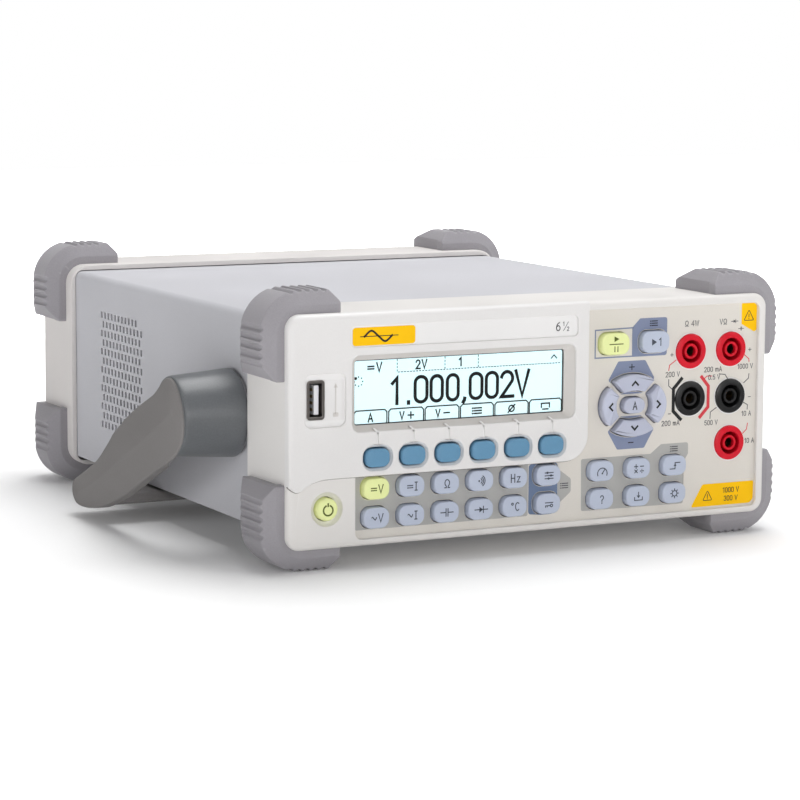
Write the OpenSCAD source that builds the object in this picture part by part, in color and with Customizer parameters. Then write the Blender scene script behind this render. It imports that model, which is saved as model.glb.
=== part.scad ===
// Bench multimeter: half-rack case, carrying bail, keypad, display and input jacks.
// Millimetres, +Z up, front faces -Y. The origin is under the middle of the bounding box.

/* [Case] */
// width of the front bezel
body_w = 213.4; // [200:0.2:225]
// height of the front bezel
body_h = 89.4; // [80:0.2:100]
// thickness of the corner bumpers
bumper_t = 8.8; // [6:0.1:12]
// radius of the bezel's corners
body_r = 8.2; // [6:0.1:12]
// depth of the bezel's skirt
skirt_y = 37.9; // [30:0.1:45]
// start of the rear frame, behind the bezel's face
frame_y0 = 229.3; // [200:0.1:260]
// end of the rear frame
frame_y1 = 266; // [240:0.5:290]
// wall of the moulded frames
wall = 2.2; // [1.6:0.1:3]
// radius of the frames' inside corners, clear of the cover's
inner_r = 3.4; // [2:0.1:6]
// bevel round the bezel's face
face_bevel = 2.2; // [1:0.1:3]

/* [Cover and tray] */
// half width of the sheet cover
cover_hw = 104.3; // [100:0.05:110]
// height of the cover's top above the ground
cover_z = 95.6; // [90:0.1:100]
// thickness of the sheet metal
sheet = 1; // [0.8:0.1:1.5]
// underside of the tray above the ground
tray_z = 13.2; // [12:0.1:16]
// rows of vent slots on each side
vent_rows = 13; // [5:1:16]
// slots in a full row
vent_cols = 12; // [5:1:14]
// pitch of the slots and of the rows
vent_pitch = 3.97; // [3:0.01:5]

/* [Front] */
// depth of the sunk right-hand and keypad panel
panel_y = 1.5; // [1:0.1:2.5]
// back of the bezel's face plate
plate_y = 4; // [3:0.1:6]
// how far the display fascia stands out
fascia_t = 1.4; // [1:0.1:3]
// right edge of the display fascia
fascia_x1 = 22.5; // [15:0.5:30]
// bottom edge of the display fascia
fascia_z0 = 35.8; // [32:0.1:38]
// width of the display's viewing area
lcd_w = 91; // [80:0.5:100]
// height of the display's viewing area
lcd_h = 24.8; // [20:0.1:30]
// middle of the display
lcd_x = -32.9; // [-40:0.1:-25]
// height of the display's middle
lcd_z = 67.5; // [60:0.1:75]

/* [Keys] */
// how far a key goes in
travel = 0.9; // [0.5:0.1:1.2]
// gap between a key and its hole
key_gap = 0.35; // [0.3:0.05:0.5]
// front of the keypad keys
key_tip_y = -1.6; // [-3:0.1:0]
// front of the softkeys
soft_tip_y = -2.4; // [-4:0.1:-1]
// middle of the first softkey
soft_x = -69.9; // [-75:0.1:-65]
// pitch of the softkeys
soft_pitch = 15.2; // [13:0.1:18]
// pitch of the function keys
func_pitch = 15; // [13:0.1:18]
// middle of the first function key
func_x = -70.2; // [-75:0.1:-65]
// middle of the first menu key
menu_x = 29; // [25:0.1:35]
// pitch of the menu keys
menu_pitch = 16.9; // [15:0.1:20]
// upper row of the keypad
row_z1 = 30.8; // [28:0.1:33]
// lower row of the keypad
row_z2 = 19.6; // [17:0.1:22]
// middle of the navigation pad
nav_x = 43.6; // [40:0.1:48]
// height of the navigation pad's middle
nav_z = 56.1; // [50:0.1:60]

/* [Jacks] */
// spacing of the safety jacks
jack_pitch = 19.05; // [19:0.01:19.1]
// left column of jacks
jack_x = 71; // [68:0.1:75]
// middle row of jacks
jack_z = 57.15; // [50:0.05:60]
// radius of a jack's flange
jack_r = 7; // [6:0.1:8]
// bore radius of a contact tube
plug_r = 2.05; // [2.02:0.01:2.2]

/* [Handle] */
// pivot of the bail behind the bezel's face
pivot_y = 55.5; // [50:0.1:62]
// height of the bail's pivot
pivot_z = 55; // [50:0.1:60]
// radius of the hub at the case
hub_r1 = 17.5; // [15:0.1:20]
// radius of the hub at its outer end
hub_r2 = 15.6; // [13:0.1:18]
// inner face of the bail's arms
arm_x0 = 119; // [117:0.5:125]
// outer face of the bail's arms
arm_x1 = 133.5; // [128:0.5:140]
// radius of the pivot stud
stud_r = 9; // [6:0.1:11]

/* [Rear] */
// outer face of the rear panel
rear_y = 262.7; // [255:0.1:270]
// tips of the coaxial sockets
bnc_tip_y = 281.6; // [275:0.1:290]
// middle of the mains module
inlet_x = 78; // [60:1:85]
// height of the inlet's middle
inlet_z = 37; // [30:1:45]
// height of the rocker's pivot
rocker_z = 62.5; // [58:0.5:70]
// swing of the rocker either side of level
rocker_tilt = 7; // [5:1:9]
// rear panel screws either side of the middle
screw_x = 100.3; // [98:0.1:101]

/* [Hidden] */
$fn = 64;
ground_h = body_h + 2 * bumper_t;
mid_z = ground_h / 2;
y_mid = (soft_tip_y + bnc_tip_y) / 2;
bumper_r = body_r + bumper_t;
corner_x = body_w / 2 - body_r;
corner_z = body_h / 2 - body_r;
inset_x0 = -78.5;
inset_x1 = 102.6;
inset_z0 = 11.6;
inset_z1 = 94.6;
jack_x2 = jack_x + jack_pitch;
jack_red = [[jack_x, jack_z + jack_pitch], [jack_x2, jack_z + jack_pitch], [jack_x2, jack_z - jack_pitch]];
jack_black = [[jack_x, jack_z], [jack_x2, jack_z]];
// bumper section: distance out from the case, and depth from the face
bumper_cut = [[0, 0], [3, 0], [bumper_t, 6.2], [bumper_t, 24.5], [3.4, 34], [0, 34]];
rear_cut = [[0, 0], [3, 0], [bumper_t, 3.8], [bumper_t, 18.3], [3.4, 30.6], [0, 30.6]];
arm_outline = [[44.5, 50], [54, 39], [67, 33], [104, 17.7], [127, 8.9], [129.5, 8.1], [147, 4.5],
               [162.3, 4.3], [163.6, 14.8], [158, 17], [135, 28], [113, 43], [94, 54], [72, 62.5], [60, 69]];
bar_section = [[128.5, 8.2], [147, 4.5], [162.3, 4.3], [163.4, 9.6], [160, 12.5], [131, 12.5]];

// moves the case from bezel coordinates to the part's origin
module place() {
    translate([0, -y_mid, 0]) children();
}

// outline in X and Z, carried from depth y0 to y1
module yspan(y0, y1) {
    translate([0, y1, 0]) rotate([90, 0, 0]) linear_extrude(height = y1 - y0) children();
}

// outline in Y and Z, carried from x0 to x1
module xspan(x0, x1) {
    translate([x0, 0, 0]) rotate([90, 0, 90]) linear_extrude(height = x1 - x0) children();
}

// outline in X and Y, carried from z0 to z1
module zspan(z0, z1) {
    translate([0, 0, z0]) linear_extrude(height = z1 - z0) children();
}

module at(x, z) {
    translate([x, z]) children();
}

module rrect(w, h, r) {
    square([w - 2 * r, h], center = true);
    square([w, h - 2 * r], center = true);
    for (sx = [-1, 1], sz = [-1, 1]) {
        translate([sx * (w / 2 - r), sz * (h / 2 - r)]) circle(r);
    }
}

module ycyl(x, z, y0, y1, r) {
    translate([x, y1, z]) rotate([90, 0, 0]) cylinder(h = y1 - y0, r = r);
}

module xcyl(y, z, x0, x1, r) {
    translate([x0, y, z]) rotate([0, 90, 0]) cylinder(h = x1 - x0, r = r);
}

module block(x0, x1, y0, y1, z0, z1) {
    translate([x0, y0, z0]) cube([x1 - x0, y1 - y0, z1 - z0]);
}

// rounded slab facing -Y at depth y0, with a bevel c round its face
module bevel_slab(x, z, w, h, r, c, y0, y1) {
    translate([x, 0, z]) {
        yspan(y0 + c, y1) rrect(w, h, r);
        xspan(-(w / 2 - r), w / 2 - r)
            polygon([[y0, c - h / 2], [y0 + c, -h / 2], [y0 + c, h / 2], [y0, h / 2 - c]]);
        zspan(-(h / 2 - r), h / 2 - r)
            polygon([[c - w / 2, y0], [w / 2 - c, y0], [w / 2, y0 + c], [-w / 2, y0 + c]]);
        for (sx = [-1, 1], sz = [-1, 1]) {
            translate([sx * (w / 2 - r), y0, sz * (h / 2 - r)])
                rotate([-90, 0, 0]) cylinder(h = c, r1 = r - c, r2 = r);
        }
    }
}

// span in depth centred on the case's middle height
module at3(y0, y1) {
    translate([0, 0, mid_z]) yspan(y0, y1) children();
}

module both_sides() {
    children();
    mirror([1, 0, 0]) children();
}

// outlines of the front's features
module inset_outline(g) {
    at((inset_x0 + inset_x1) / 2, (inset_z0 + inset_z1) / 2)
        rrect(inset_x1 - inset_x0 - 2 * g, inset_z1 - inset_z0 - 2 * g, 2.6);
}

module fascia_outline() {
    polygon([[-104.4, 32.4], [-103.4, 31.5], [-102, 31.9], [-99.6, 33.2], [-95.6, 35], [-91, 35.7],
             [-87, fascia_z0], [fascia_x1 - 10, fascia_z0], [fascia_x1 - 10, 50], [-104.4, 50]]);
    at(fascia_x1 - 10, fascia_z0 + 10) circle(10);
    polygon([[-104.4, 45], [fascia_x1, fascia_z0 + 10], [fascia_x1, 95.7],
             [-98.5, 95.7], [-98.5, 89.8], [-104.4, 89.8]]);
    at(-98.5, 89.8) circle(5.9);
}

module soft_keys_2d(g) {
    for (i = [0:5]) {
        at(soft_x + i * soft_pitch, 42.7) rrect(10.2 + 2 * g, 7.1 + 2 * g, 2.6 + g);
    }
}

module nav_side_2d(g) {
    intersection() {
        translate([5.5, 0]) circle(9.45 + g);
        polygon([[6.95 - 1.1 * g, 4.1 + 0.9 * g], [11.35 - 0.2 * g, 7.9 + 1.2 * g], [17, 7.9 + 1.2 * g],
                 [17, -7.9 - 1.2 * g], [11.35 - 0.2 * g, -7.9 - 1.2 * g],
                 [6.95 - 1.1 * g, -4.1 - 0.9 * g], [8.25 - g, 0]]);
    }
}

module nav_up_2d(g) {
    intersection() {
        translate([0, -5.4]) circle(17.8 + g);
        polygon([[-9.4 - 1.2 * g, 9.9 - 0.2 * g], [-4.8 - 0.5 * g, 5.3 - g], [4.8 + 0.5 * g, 5.3 - g],
                 [9.4 + 1.2 * g, 9.9 - 0.2 * g], [9.4 + 1.2 * g, 15], [-9.4 - 1.2 * g, 15]]);
    }
}

module nav_auto_2d(g) {
    rrect(9.7 + 2 * g, 6.2 + 2 * g, 2.9 + g);
}

module panel_keys_2d(g) {
    for (i = [0:5], z = [row_z1, row_z2]) {
        at(func_x + i * func_pitch, z) rrect(10.8 + 2 * g, 8 + 2 * g, 2.8 + g);
    }
    for (i = [0:2], z = [row_z1, row_z2]) {
        at(menu_x + i * menu_pitch, z) rrect(10.9 + 2 * g, 8 + 2 * g, 2.8 + g);
    }
    for (i = [0, 1]) {
        at(34.6 + i * 18.5, 81) rrect(12.6 + 2 * g, 8.5 + 2 * g, 2.8 + g);
    }
    at(nav_x, nav_z) {
        nav_up_2d(g);
        mirror([0, 1]) nav_up_2d(g);
        nav_side_2d(g);
        mirror([1, 0]) nav_side_2d(g);
        nav_auto_2d(g);
    }
    at(-90.8, 24.2) circle(4.8 + g);
}

module front_bezel() {
    color([0.87, 0.86, 0.86]) place() difference() {
        bevel_slab(0, mid_z, body_w, body_h, body_r, face_bevel, 0, skirt_y);
        at3(plate_y, skirt_y + 1) rrect(body_w - 2 * wall, body_h - 2 * wall, inner_r);
        yspan(-1, panel_y) inset_outline(0);
        yspan(-1, plate_y + 1) soft_keys_2d(key_gap);
        yspan(-1, plate_y + 1) panel_keys_2d(key_gap);
        yspan(-1, plate_y + 1) at(lcd_x, lcd_z) rrect(lcd_w, lcd_h, 1.2);
        yspan(-1, panel_y) at(lcd_x + 0.8, lcd_z) rrect(lcd_w + 5.9, lcd_h + 4.2, 3);
        yspan(-1, plate_y + 1) at(-95.5, 66) square([6.4, 13.8], center = true);
        for (p = concat(jack_red, jack_black)) {
            ycyl(p[0], p[1], -1, plate_y + 1, 6.1);
        }
        // dished ring round the power key
        translate([-90.8, -0.01, 24.2]) rotate([-90, 0, 0]) cylinder(h = 1.2, r1 = 6.6, r2 = 5.4);
    }
}

module display_fascia() {
    color([0.88, 0.87, 0.87]) place() difference() {
        union() {
            yspan(-fascia_t, 0) fascia_outline();
            yspan(0, panel_y) intersection() {
                fascia_outline();
                inset_outline(0.1);
            }
        }
        // display recess, label strip and socket recess
        yspan(-5, panel_y + 1) at(lcd_x + 0.8, lcd_z) rrect(lcd_w + 5.9, lcd_h + 4.2, 3);
        yspan(-5, 0.6 - fascia_t) at(-32, 89.2) rrect(98.5, 8.1, 1.6);
        yspan(-5, 1 - fascia_t) at(-91.8, 65.7) rrect(17, 20.2, 2.6);
        yspan(-5, panel_y + 1) at(-95.5, 66) square([6.4, 13.8], center = true);
        yspan(-5, panel_y + 1) soft_keys_2d(key_gap);
        yspan(-5, 0.5 - fascia_t) soft_keys_2d(1.1);
        // engraved lines from the display down to the softkeys
        for (i = [0:5]) {
            x = soft_x + i * soft_pitch;
            block(x - 0.3, x + 0.3, -5, 0.3 - fascia_t, 46, 52.6);
        }
    }
}

module display_window() {
    color([0.86, 0.96, 0.97, 0.5]) place() {
        yspan(0.6, panel_y) at(lcd_x + 0.8, lcd_z) rrect(lcd_w + 5.6, lcd_h + 3.9, 2.8);
    }
}

module display_module() {
    color([0.75, 0.86, 0.88]) place() {
        yspan(2.4, 4.2) at(lcd_x, lcd_z) rrect(lcd_w - 0.6, lcd_h - 0.6, 0.9);
        block(lcd_x - 50.5, lcd_x + 50.5, 4.2, 8.2, lcd_z - 14.6, lcd_z + 14.6);
    }
}

module keypad_mat() {
    color([0.8, 0.8, 0.78]) place() {
        block(-99, 68, 6.6, 7.6, 13.2, 49.2);
        block(24, 62, 6.6, 7.6, 49.2, 88.5);
        for (i = [0:5]) {
            ycyl(soft_x + i * soft_pitch, 42.7, 6.45, 6.6, 2.4);
            ycyl(func_x + i * func_pitch, row_z1, 6.45, 6.6, 2.4);
            ycyl(func_x + i * func_pitch, row_z2, 6.45, 6.6, 2.4);
        }
        for (i = [0:2]) {
            ycyl(menu_x + i * menu_pitch, row_z1, 6.45, 6.6, 2.4);
            ycyl(menu_x + i * menu_pitch, row_z2, 6.45, 6.6, 2.4);
        }
    }
}

module front_board() {
    color([0.12, 0.36, 0.22]) place() {
        difference() {
            block(-103, 62, 8.6, 10.2, 13.2, 93);
            block(-99.2, -91.8, 8, 11, 58.5, 73.5);
            for (x = [-100, 58], z = [16, 90]) {
                ycyl(x, z, 8, 11, 1.6);
            }
        }
        block(-60, -38, 10.2, 12.6, 22, 44);
        block(-20, -6, 10.2, 12.2, 26, 40);
        block(20, 54, 10.2, 15, 16, 22);
        for (i = [0:3]) {
            block(28 + 7 * i, 32 + 7 * i, 10.2, 12, 70, 74);
        }
    }
}

module usb_host_port() {
    color([0.78, 0.78, 0.8]) place() {
        difference() {
            union() {
                yspan(-0.8, -0.4) at(-95.5, 66) rrect(7.2, 14.8, 1.2);
                yspan(-0.4, 14) at(-95.5, 66) square([6, 13.4], center = true);
            }
            yspan(-2, 12.6) at(-95.5, 66) square([5.1, 12.5], center = true);
        }
        block(-95.9, -94.1, 0.6, 12.7, 60.4, 71.6);
    }
}

module safety_jack(x, z) {
    difference() {
        union() {
            ycyl(x, z, 0.3, panel_y, jack_r);
            ycyl(x, z, panel_y, 22, 6);
            ycyl(x, z, plate_y, 7, 7.8);
        }
        ycyl(x, z, 0, 18, 4.65);
        ycyl(x, z, 10, 23, 2.64);
    }
    difference() {
        ycyl(x, z, 0.8, 18.1, 3.15);
        ycyl(x, z, 0, 1.2, plug_r + 0.35);
        ycyl(x, z, 1.2, 23, 2.64);
    }
}

module input_jacks_red() {
    color([0.86, 0.12, 0.22]) place() for (p = jack_red) {
        safety_jack(p[0], p[1]);
    }
}

module input_jacks_black() {
    color([0.1, 0.1, 0.1]) place() for (p = jack_black) {
        safety_jack(p[0], p[1]);
    }
}

module jack_contacts() {
    color([0.8, 0.68, 0.4]) place() for (p = concat(jack_red, jack_black)) {
        difference() {
            ycyl(p[0], p[1], 1.22, 24, 2.6);
            ycyl(p[0], p[1], 1, 20, plug_r);
        }
        ycyl(p[0], p[1], 24, 30, 1.2);
    }
}

// a rubber key: a bevelled cap and the flange that keeps it behind the plate
module panel_key(x, z, w, h, tip) {
    place() {
        bevel_slab(x, z, w, h, 2.8, 0.8, tip, plate_y + 0.4);
        yspan(plate_y + 0.3, plate_y + 1.2) at(x, z) rrect(w + 1.8, h + 1.8, 3.4);
    }
}

module soft_key(i) {
    color([0.41, 0.6, 0.73]) panel_key(soft_x + i * soft_pitch, 42.7, 10.2, 7.1, soft_tip_y);
}

module func_key(i, z, lit = false) {
    color(lit ? [0.89, 0.93, 0.59] : [0.75, 0.78, 0.85])
        panel_key(func_x + i * func_pitch, z, 10.8, 8, key_tip_y);
}

module menu_key(i, z) {
    color([0.75, 0.78, 0.85]) panel_key(menu_x + i * menu_pitch, z, 10.9, 8, key_tip_y);
}

module nav_key() {
    color([0.74, 0.76, 0.83]) place() translate([nav_x, 0, nav_z]) children();
}

module nav_cap() {
    yspan(key_tip_y, plate_y + 0.4) children();
}

module nav_flange() {
    yspan(plate_y + 0.3, plate_y + 1.2) children();
}

module softkey_1() { soft_key(0); }
module softkey_2() { soft_key(1); }
module softkey_3() { soft_key(2); }
module softkey_4() { soft_key(3); }
module softkey_5() { soft_key(4); }
module softkey_6() { soft_key(5); }
module key_dc_volts() { func_key(0, row_z1, true); }
module key_dc_current() { func_key(1, row_z1); }
module key_resistance() { func_key(2, row_z1); }
module key_continuity() { func_key(3, row_z1); }
module key_frequency() { func_key(4, row_z1); }
module key_preset() { func_key(5, row_z1); }
module key_ac_volts() { func_key(0, row_z2); }
module key_ac_current() { func_key(1, row_z2); }
module key_capacitance() { func_key(2, row_z2); }
module key_diode() { func_key(3, row_z2); }
module key_sensor() { func_key(4, row_z2); }
module key_second() { func_key(5, row_z2); }
module key_measure() { menu_key(0, row_z1); }
module key_math() { menu_key(1, row_z1); }
module key_trigger() { menu_key(2, row_z1); }
module key_help() { menu_key(0, row_z2); }
module key_save() { menu_key(1, row_z2); }
module key_utility() { menu_key(2, row_z2); }

module key_run() {
    color([0.89, 0.93, 0.59]) panel_key(34.6, 81, 12.6, 8.5, key_tip_y);
}

module key_single() {
    color([0.75, 0.78, 0.85]) panel_key(53.1, 81, 12.6, 8.5, key_tip_y);
}

module nav_up() {
    nav_key() {
        nav_cap() nav_up_2d(0);
        nav_flange() nav_up_2d(0.75);
    }
}

module nav_down() {
    nav_key() mirror([0, 0, 1]) {
        nav_cap() nav_up_2d(0);
        nav_flange() nav_up_2d(0.75);
    }
}

module nav_right() {
    nav_key() {
        nav_cap() nav_side_2d(0);
        nav_flange() nav_side_2d(0.75);
    }
}

module nav_left() {
    nav_key() mirror([1, 0, 0]) {
        nav_cap() nav_side_2d(0);
        nav_flange() nav_side_2d(0.75);
    }
}

module nav_auto() {
    nav_key() {
        nav_cap() nav_auto_2d(0);
        nav_flange() nav_auto_2d(0.75);
    }
}

module power_key() {
    color([0.89, 0.93, 0.59]) place() {
        ycyl(-90.8, 24.2, -0.6, plate_y + 0.4, 4.8);
        ycyl(-90.8, 24.2, plate_y + 0.3, plate_y + 1.2, 5.7);
        translate([-90.8, -1.1, 24.2]) rotate([-90, 0, 0]) cylinder(h = 0.5, r1 = 4.3, r2 = 4.8);
    }
}

// section of the sheet cover, an upturned channel
module cover_section(g) {
    difference() {
        at(0, (cover_z + 5) / 2) rrect(2 * (cover_hw - g), cover_z - 5 - 2 * g, 3 - g);
        at(0, 0) square([2 * cover_hw + 2, 2 * tray_z], center = true);
    }
}

module vent_field() {
    for (j = [0:vent_rows - 1]) {
        short = (j == 0 || j == vent_rows - 1) ? 1 : 0;
        start = 152.3 + (j % 2 == 0 ? vent_pitch / 2 : 0);
        z = 79.4 - j * vent_pitch;
        for (i = [short:vent_cols - 1]) {
            y = start + i * vent_pitch;
            block(cover_hw - sheet - 1, cover_hw + 1, y - 0.95, y + 0.95, z - 1.35, z + 1.35);
        }
    }
}

module top_cover() {
    color([0.68, 0.68, 0.72]) place() difference() {
        yspan(34, 233) cover_section(0);
        yspan(33, 234) cover_section(sheet);
        both_sides() vent_field();
    }
}

module chassis_tray() {
    color([0.78, 0.78, 0.8]) place() difference() {
        union() {
            block(-cover_hw + sheet + 0.3, cover_hw - sheet - 0.3, 36, 258.6, tray_z, tray_z + 1.2);
            both_sides() block(cover_hw - sheet - 1.5, cover_hw - sheet - 0.3, 40, 258.6, tray_z, 42);
            for (x = [-90, -20, 50], y = [60, 220]) {
                translate([x, y, tray_z]) cylinder(h = 6.8, r = 3);
            }
        }
        for (x = [-90, 50], y = [60, 220]) {
            translate([x, y, tray_z - 1]) cylinder(h = 9, r = 1.6);
        }
    }
}

module rear_frame() {
    color([0.84, 0.83, 0.83]) place() difference() {
        translate([0, frame_y0 + frame_y1, 0]) mirror([0, 1, 0])
            bevel_slab(0, mid_z, body_w, body_h, body_r, face_bevel, frame_y0, frame_y1);
        at3(frame_y0 - 1, 258.7) rrect(body_w - 2 * wall, body_h - 2 * wall, inner_r);
        at3(frame_y0, frame_y1 + 1) rrect(body_w - 19, body_h - 15, 3);
        at3(261.45, frame_y1 + 1) rrect(body_w - 6.8, body_h - 6.8, 4.6);
        for (x = [-screw_x, screw_x], z = [mid_z - 30, mid_z + 30]) {
            ycyl(x, z, 258, 262, 1.55);
        }
    }
}

module rear_panel() {
    color([0.8, 0.8, 0.81]) place() difference() {
        at3(rear_y - 1.2, rear_y) rrect(body_w - 7, body_h - 7, 4.4);
        yspan(260, 264) at(inlet_x, (inlet_z + rocker_z) / 2) square([27.4, 50.4], center = true);
        yspan(260, 264) at(20, 28) square([16.4, 13.8], center = true);
        yspan(260, 264) at(44, 28) square([12.4, 11.2], center = true);
        yspan(260, 264) at(-40, 28) square([52.4, 13.4], center = true);
        yspan(260, 264) at(-14, 68) square([19.6, 11.4], center = true);
        ycyl(44, 66, 260, 264, 6.1);
        ycyl(-86, 66, 260, 264, 5.1);
        ycyl(-60, 66, 260, 264, 5.1);
        for (x = [-screw_x, screw_x], z = [mid_z - 30, mid_z + 30]) {
            ycyl(x, z, 260, 264, 1.7);
        }
    }
}

module main_board() {
    color([0.12, 0.38, 0.22]) place() {
        difference() {
            block(-96, 56, 50, 236, 20, 21.6);
            for (x = [-90, 50], y = [60, 220]) {
                translate([x, y, 19]) cylinder(h = 4, r = 1.6);
            }
        }
        block(-20, 10, 185, 215, 21.6, 24);
        block(-70, -50, 180, 205, 21.6, 23.8);
        block(-88, -80, 80, 140, 21.6, 34);
        for (i = [0:3]) {
            translate([30, 175 + 14 * i, 21.6]) cylinder(h = 18, r = 5);
        }
        for (i = [0:2]) {
            block(-86 + 16 * i, -76 + 16 * i, 160, 172, 21.6, 36);
        }
    }
}

module transformer() {
    color([0.3, 0.3, 0.32]) place() {
        block(64, 99, 150, 210, tray_z + 1.2, 62);
        block(70, 93, 140, 150, 22, 54);
        block(70, 93, 210, 220, 22, 54);
        block(64, 99, 138, 150, tray_z + 1.2, tray_z + 2.6);
    }
}

module shield_can() {
    color([0.74, 0.75, 0.76]) place() difference() {
        block(-62, 44, 62, 158, 21.6, 52);
        block(-61, 43, 63, 157, 21, 51);
        for (i = [0:4], j = [0:3]) {
            translate([-40 + 15 * i, 80 + 20 * j, 50]) cylinder(h = 3, r = 3);
        }
    }
}

module power_inlet() {
    color([0.1, 0.1, 0.11]) place() {
        difference() {
            union() {
                yspan(rear_y, rear_y + 2) at(inlet_x, (inlet_z + rocker_z) / 2) rrect(31, 54, 2);
                yspan(244, rear_y) at(inlet_x, (inlet_z + rocker_z) / 2) square([27, 50], center = true);
            }
            yspan(rear_y - 15, rear_y + 3) at(inlet_x, inlet_z)
                polygon([[-12.2, -8.2], [12.2, -8.2], [12.2, 4.2], [8.2, 8.2], [-8.2, 8.2], [-12.2, 4.2]]);
            block(inlet_x - 5.25, inlet_x + 5.25, 252, rear_y + 3, rocker_z - 10.2, rocker_z + 10.2);
            xcyl(rear_y - 1.5, rocker_z, inlet_x - 6.6, inlet_x + 6.6, 1.36);
        }
        for (p = [[-7, -2], [7, -2], [0, 2]]) {
            block(inlet_x + p[0] - 1, inlet_x + p[0] + 1, rear_y - 15.1, rear_y - 3.2,
                  inlet_z + p[1] - 2, inlet_z + p[1] + 2);
        }
    }
}

module power_rocker() {
    color([0.14, 0.14, 0.15]) place() translate([inlet_x, rear_y - 1.5, rocker_z]) {
        rotate([-rocker_tilt, 0, 0]) xspan(-4.9, 4.9)
            polygon([[4.6, -9.3], [3.1, 0], [4.6, 9.3], [-2, 9.3], [-5.5, 4], [-5.5, -4], [-2, -9.3]]);
        xcyl(0, 0, -6.3, 6.3, 1.3);
    }
}

module bnc_socket(x, z) {
    difference() {
        union() {
            ycyl(x, z, rear_y - 12, rear_y, 5);
            ycyl(x, z, rear_y, rear_y + 2, 7);
            ycyl(x, z, rear_y + 2, bnc_tip_y, 4.8);
            xcyl(bnc_tip_y - 5.5, z, x - 5.6, x + 5.6, 1);
        }
        ycyl(x, z, rear_y + 4, bnc_tip_y + 1, 4.1);
    }
    ycyl(x, z, rear_y + 3, bnc_tip_y - 2, 2.4);
}

module rear_connectors() {
    color([0.72, 0.72, 0.74]) place() {
        bnc_socket(-86, 66);
        bnc_socket(-60, 66);
        // network socket
        difference() {
            block(12, 28, 246, rear_y + 1.5, 21.4, 34.6);
            block(14.1, 25.9, 250, rear_y + 2, 23.4, 31.4);
            block(17, 23, 250, rear_y + 2, 31, 33.4);
        }
        // square serial socket and its tongue
        difference() {
            block(38, 50, 246, rear_y + 1.5, 22.6, 33.4);
            block(39.7, 48.3, 252, rear_y + 2, 24.1, 31.9);
        }
        block(41.2, 46.8, 251.9, rear_y + 0.4, 26.4, 29.6);
        // instrument bus socket
        difference() {
            block(-66, -14, 250, rear_y + 6, 21.5, 34.5);
            block(-63.5, -16.5, 256, rear_y + 7, 23.4, 32.6);
        }
        block(-61, -19, 255.9, rear_y + 4.5, 26.4, 29.6);
        for (x = [-70.5, -9.5]) {
            ycyl(x, 28, rear_y, rear_y + 7, 3);
        }
        // nine-way socket
        block(-23.6, -4.4, 250, rear_y + 0.6, 62.5, 73.5);
        yspan(rear_y, rear_y + 5.6) at(-14, 68)
            polygon([[-8.4, 4], [8.4, 4], [7.2, -4], [-7.2, -4]]);
        for (x = [-26.5, -1.5]) {
            ycyl(x, 68, rear_y, rear_y + 5, 2.6);
        }
    }
}

module current_fuse_holder() {
    color([0.1, 0.1, 0.11]) place() difference() {
        union() {
            ycyl(44, 66, 240, rear_y, 6);
            ycyl(44, 66, rear_y, rear_y + 1.6, 8);
            ycyl(44, 66, rear_y + 1.6, rear_y + 5.5, 6.4);
        }
        block(38.8, 49.2, rear_y + 4.3, rear_y + 6, 65.3, 66.7);
    }
}

module pivot_bosses() {
    color([0.62, 0.63, 0.65]) place() both_sides() {
        xcyl(pivot_y, pivot_z, cover_hw, cover_hw + 0.8, 16);
        xcyl(pivot_y, pivot_z, cover_hw + 0.8, arm_x0 + 4, stud_r);
    }
}

module hub() {
    difference() {
        translate([cover_hw + 1.2, pivot_y, pivot_z]) rotate([0, 90, 0])
            cylinder(h = arm_x1 - 2.5 - cover_hw - 1.2, r1 = hub_r1, r2 = hub_r2);
        xcyl(pivot_y, pivot_z, cover_hw + 1, arm_x0 + 4.6, stud_r + 0.05);
    }
}

module handle_hub_left() {
    color([0.37, 0.39, 0.4]) place() mirror([1, 0, 0]) hub();
}

module handle_hub_right() {
    color([0.37, 0.39, 0.4]) place() hub();
}

module handle_bail() {
    color([0.5, 0.49, 0.48]) place() difference() {
        union() {
            xspan(-arm_x1 + 1, arm_x1 - 1) polygon(bar_section);
            both_sides() {
                xcyl(pivot_y, pivot_z, arm_x1 - 2.5, arm_x1, 16);
                xspan(arm_x0, arm_x1) polygon(arm_outline);
            }
        }
        both_sides() translate([arm_x0 - 0.01, pivot_y, pivot_z]) rotate([0, 90, 0])
            cylinder(h = arm_x1 - 2.5 - arm_x0 + 0.01, r1 = 16.62, r2 = hub_r2 + 0.1);
    }
}

// grooves moulded into one leg each way from a corner
module bumper_grooves(g) {
    for (i = [0:4]) {
        ycyl(89 + g + 3.42 * i, ground_h + 0.1, 0, 40, 1.1);
        ycyl(body_w / 2 + bumper_t + 0.1, 79.2 + g + 3.42 * i, 0, 40, 1.1);
    }
}

// upper right corner, its steep slope to the front; x0 ends its top leg, g shifts its grooves
module corner_bumper(cut, x0, g) {
    difference() {
        intersection() {
            union() {
                xspan(75, corner_x) polygon([for (p = cut) [p[1], body_h + bumper_t + p[0]]]);
                zspan(70, mid_z + corner_z) polygon([for (p = cut) [body_w / 2 + p[0], p[1]]]);
                translate([corner_x, 0, mid_z + corner_z]) mirror([0, 1, 0]) rotate([90, 0, 0])
                    rotate_extrude(angle = 90) polygon([for (p = cut) [body_r + p[0], p[1]]]);
            }
            yspan(-1, 40) polygon([[x0, 90], [x0, 102.3], [x0 + 5, ground_h + 1], [120, ground_h + 1],
                                   [120, 83.2], [110.2, 73], [100, 73]]);
        }
        translate([0, -1, 0]) bumper_grooves(g);
    }
}

module four_corners() {
    both_sides() {
        children();
        translate([0, 0, ground_h]) mirror([0, 0, 1]) children();
    }
}

module front_bumpers() {
    color([0.6, 0.58, 0.61]) place() four_corners() corner_bumper(bumper_cut, 83.3, 0);
}

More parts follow.
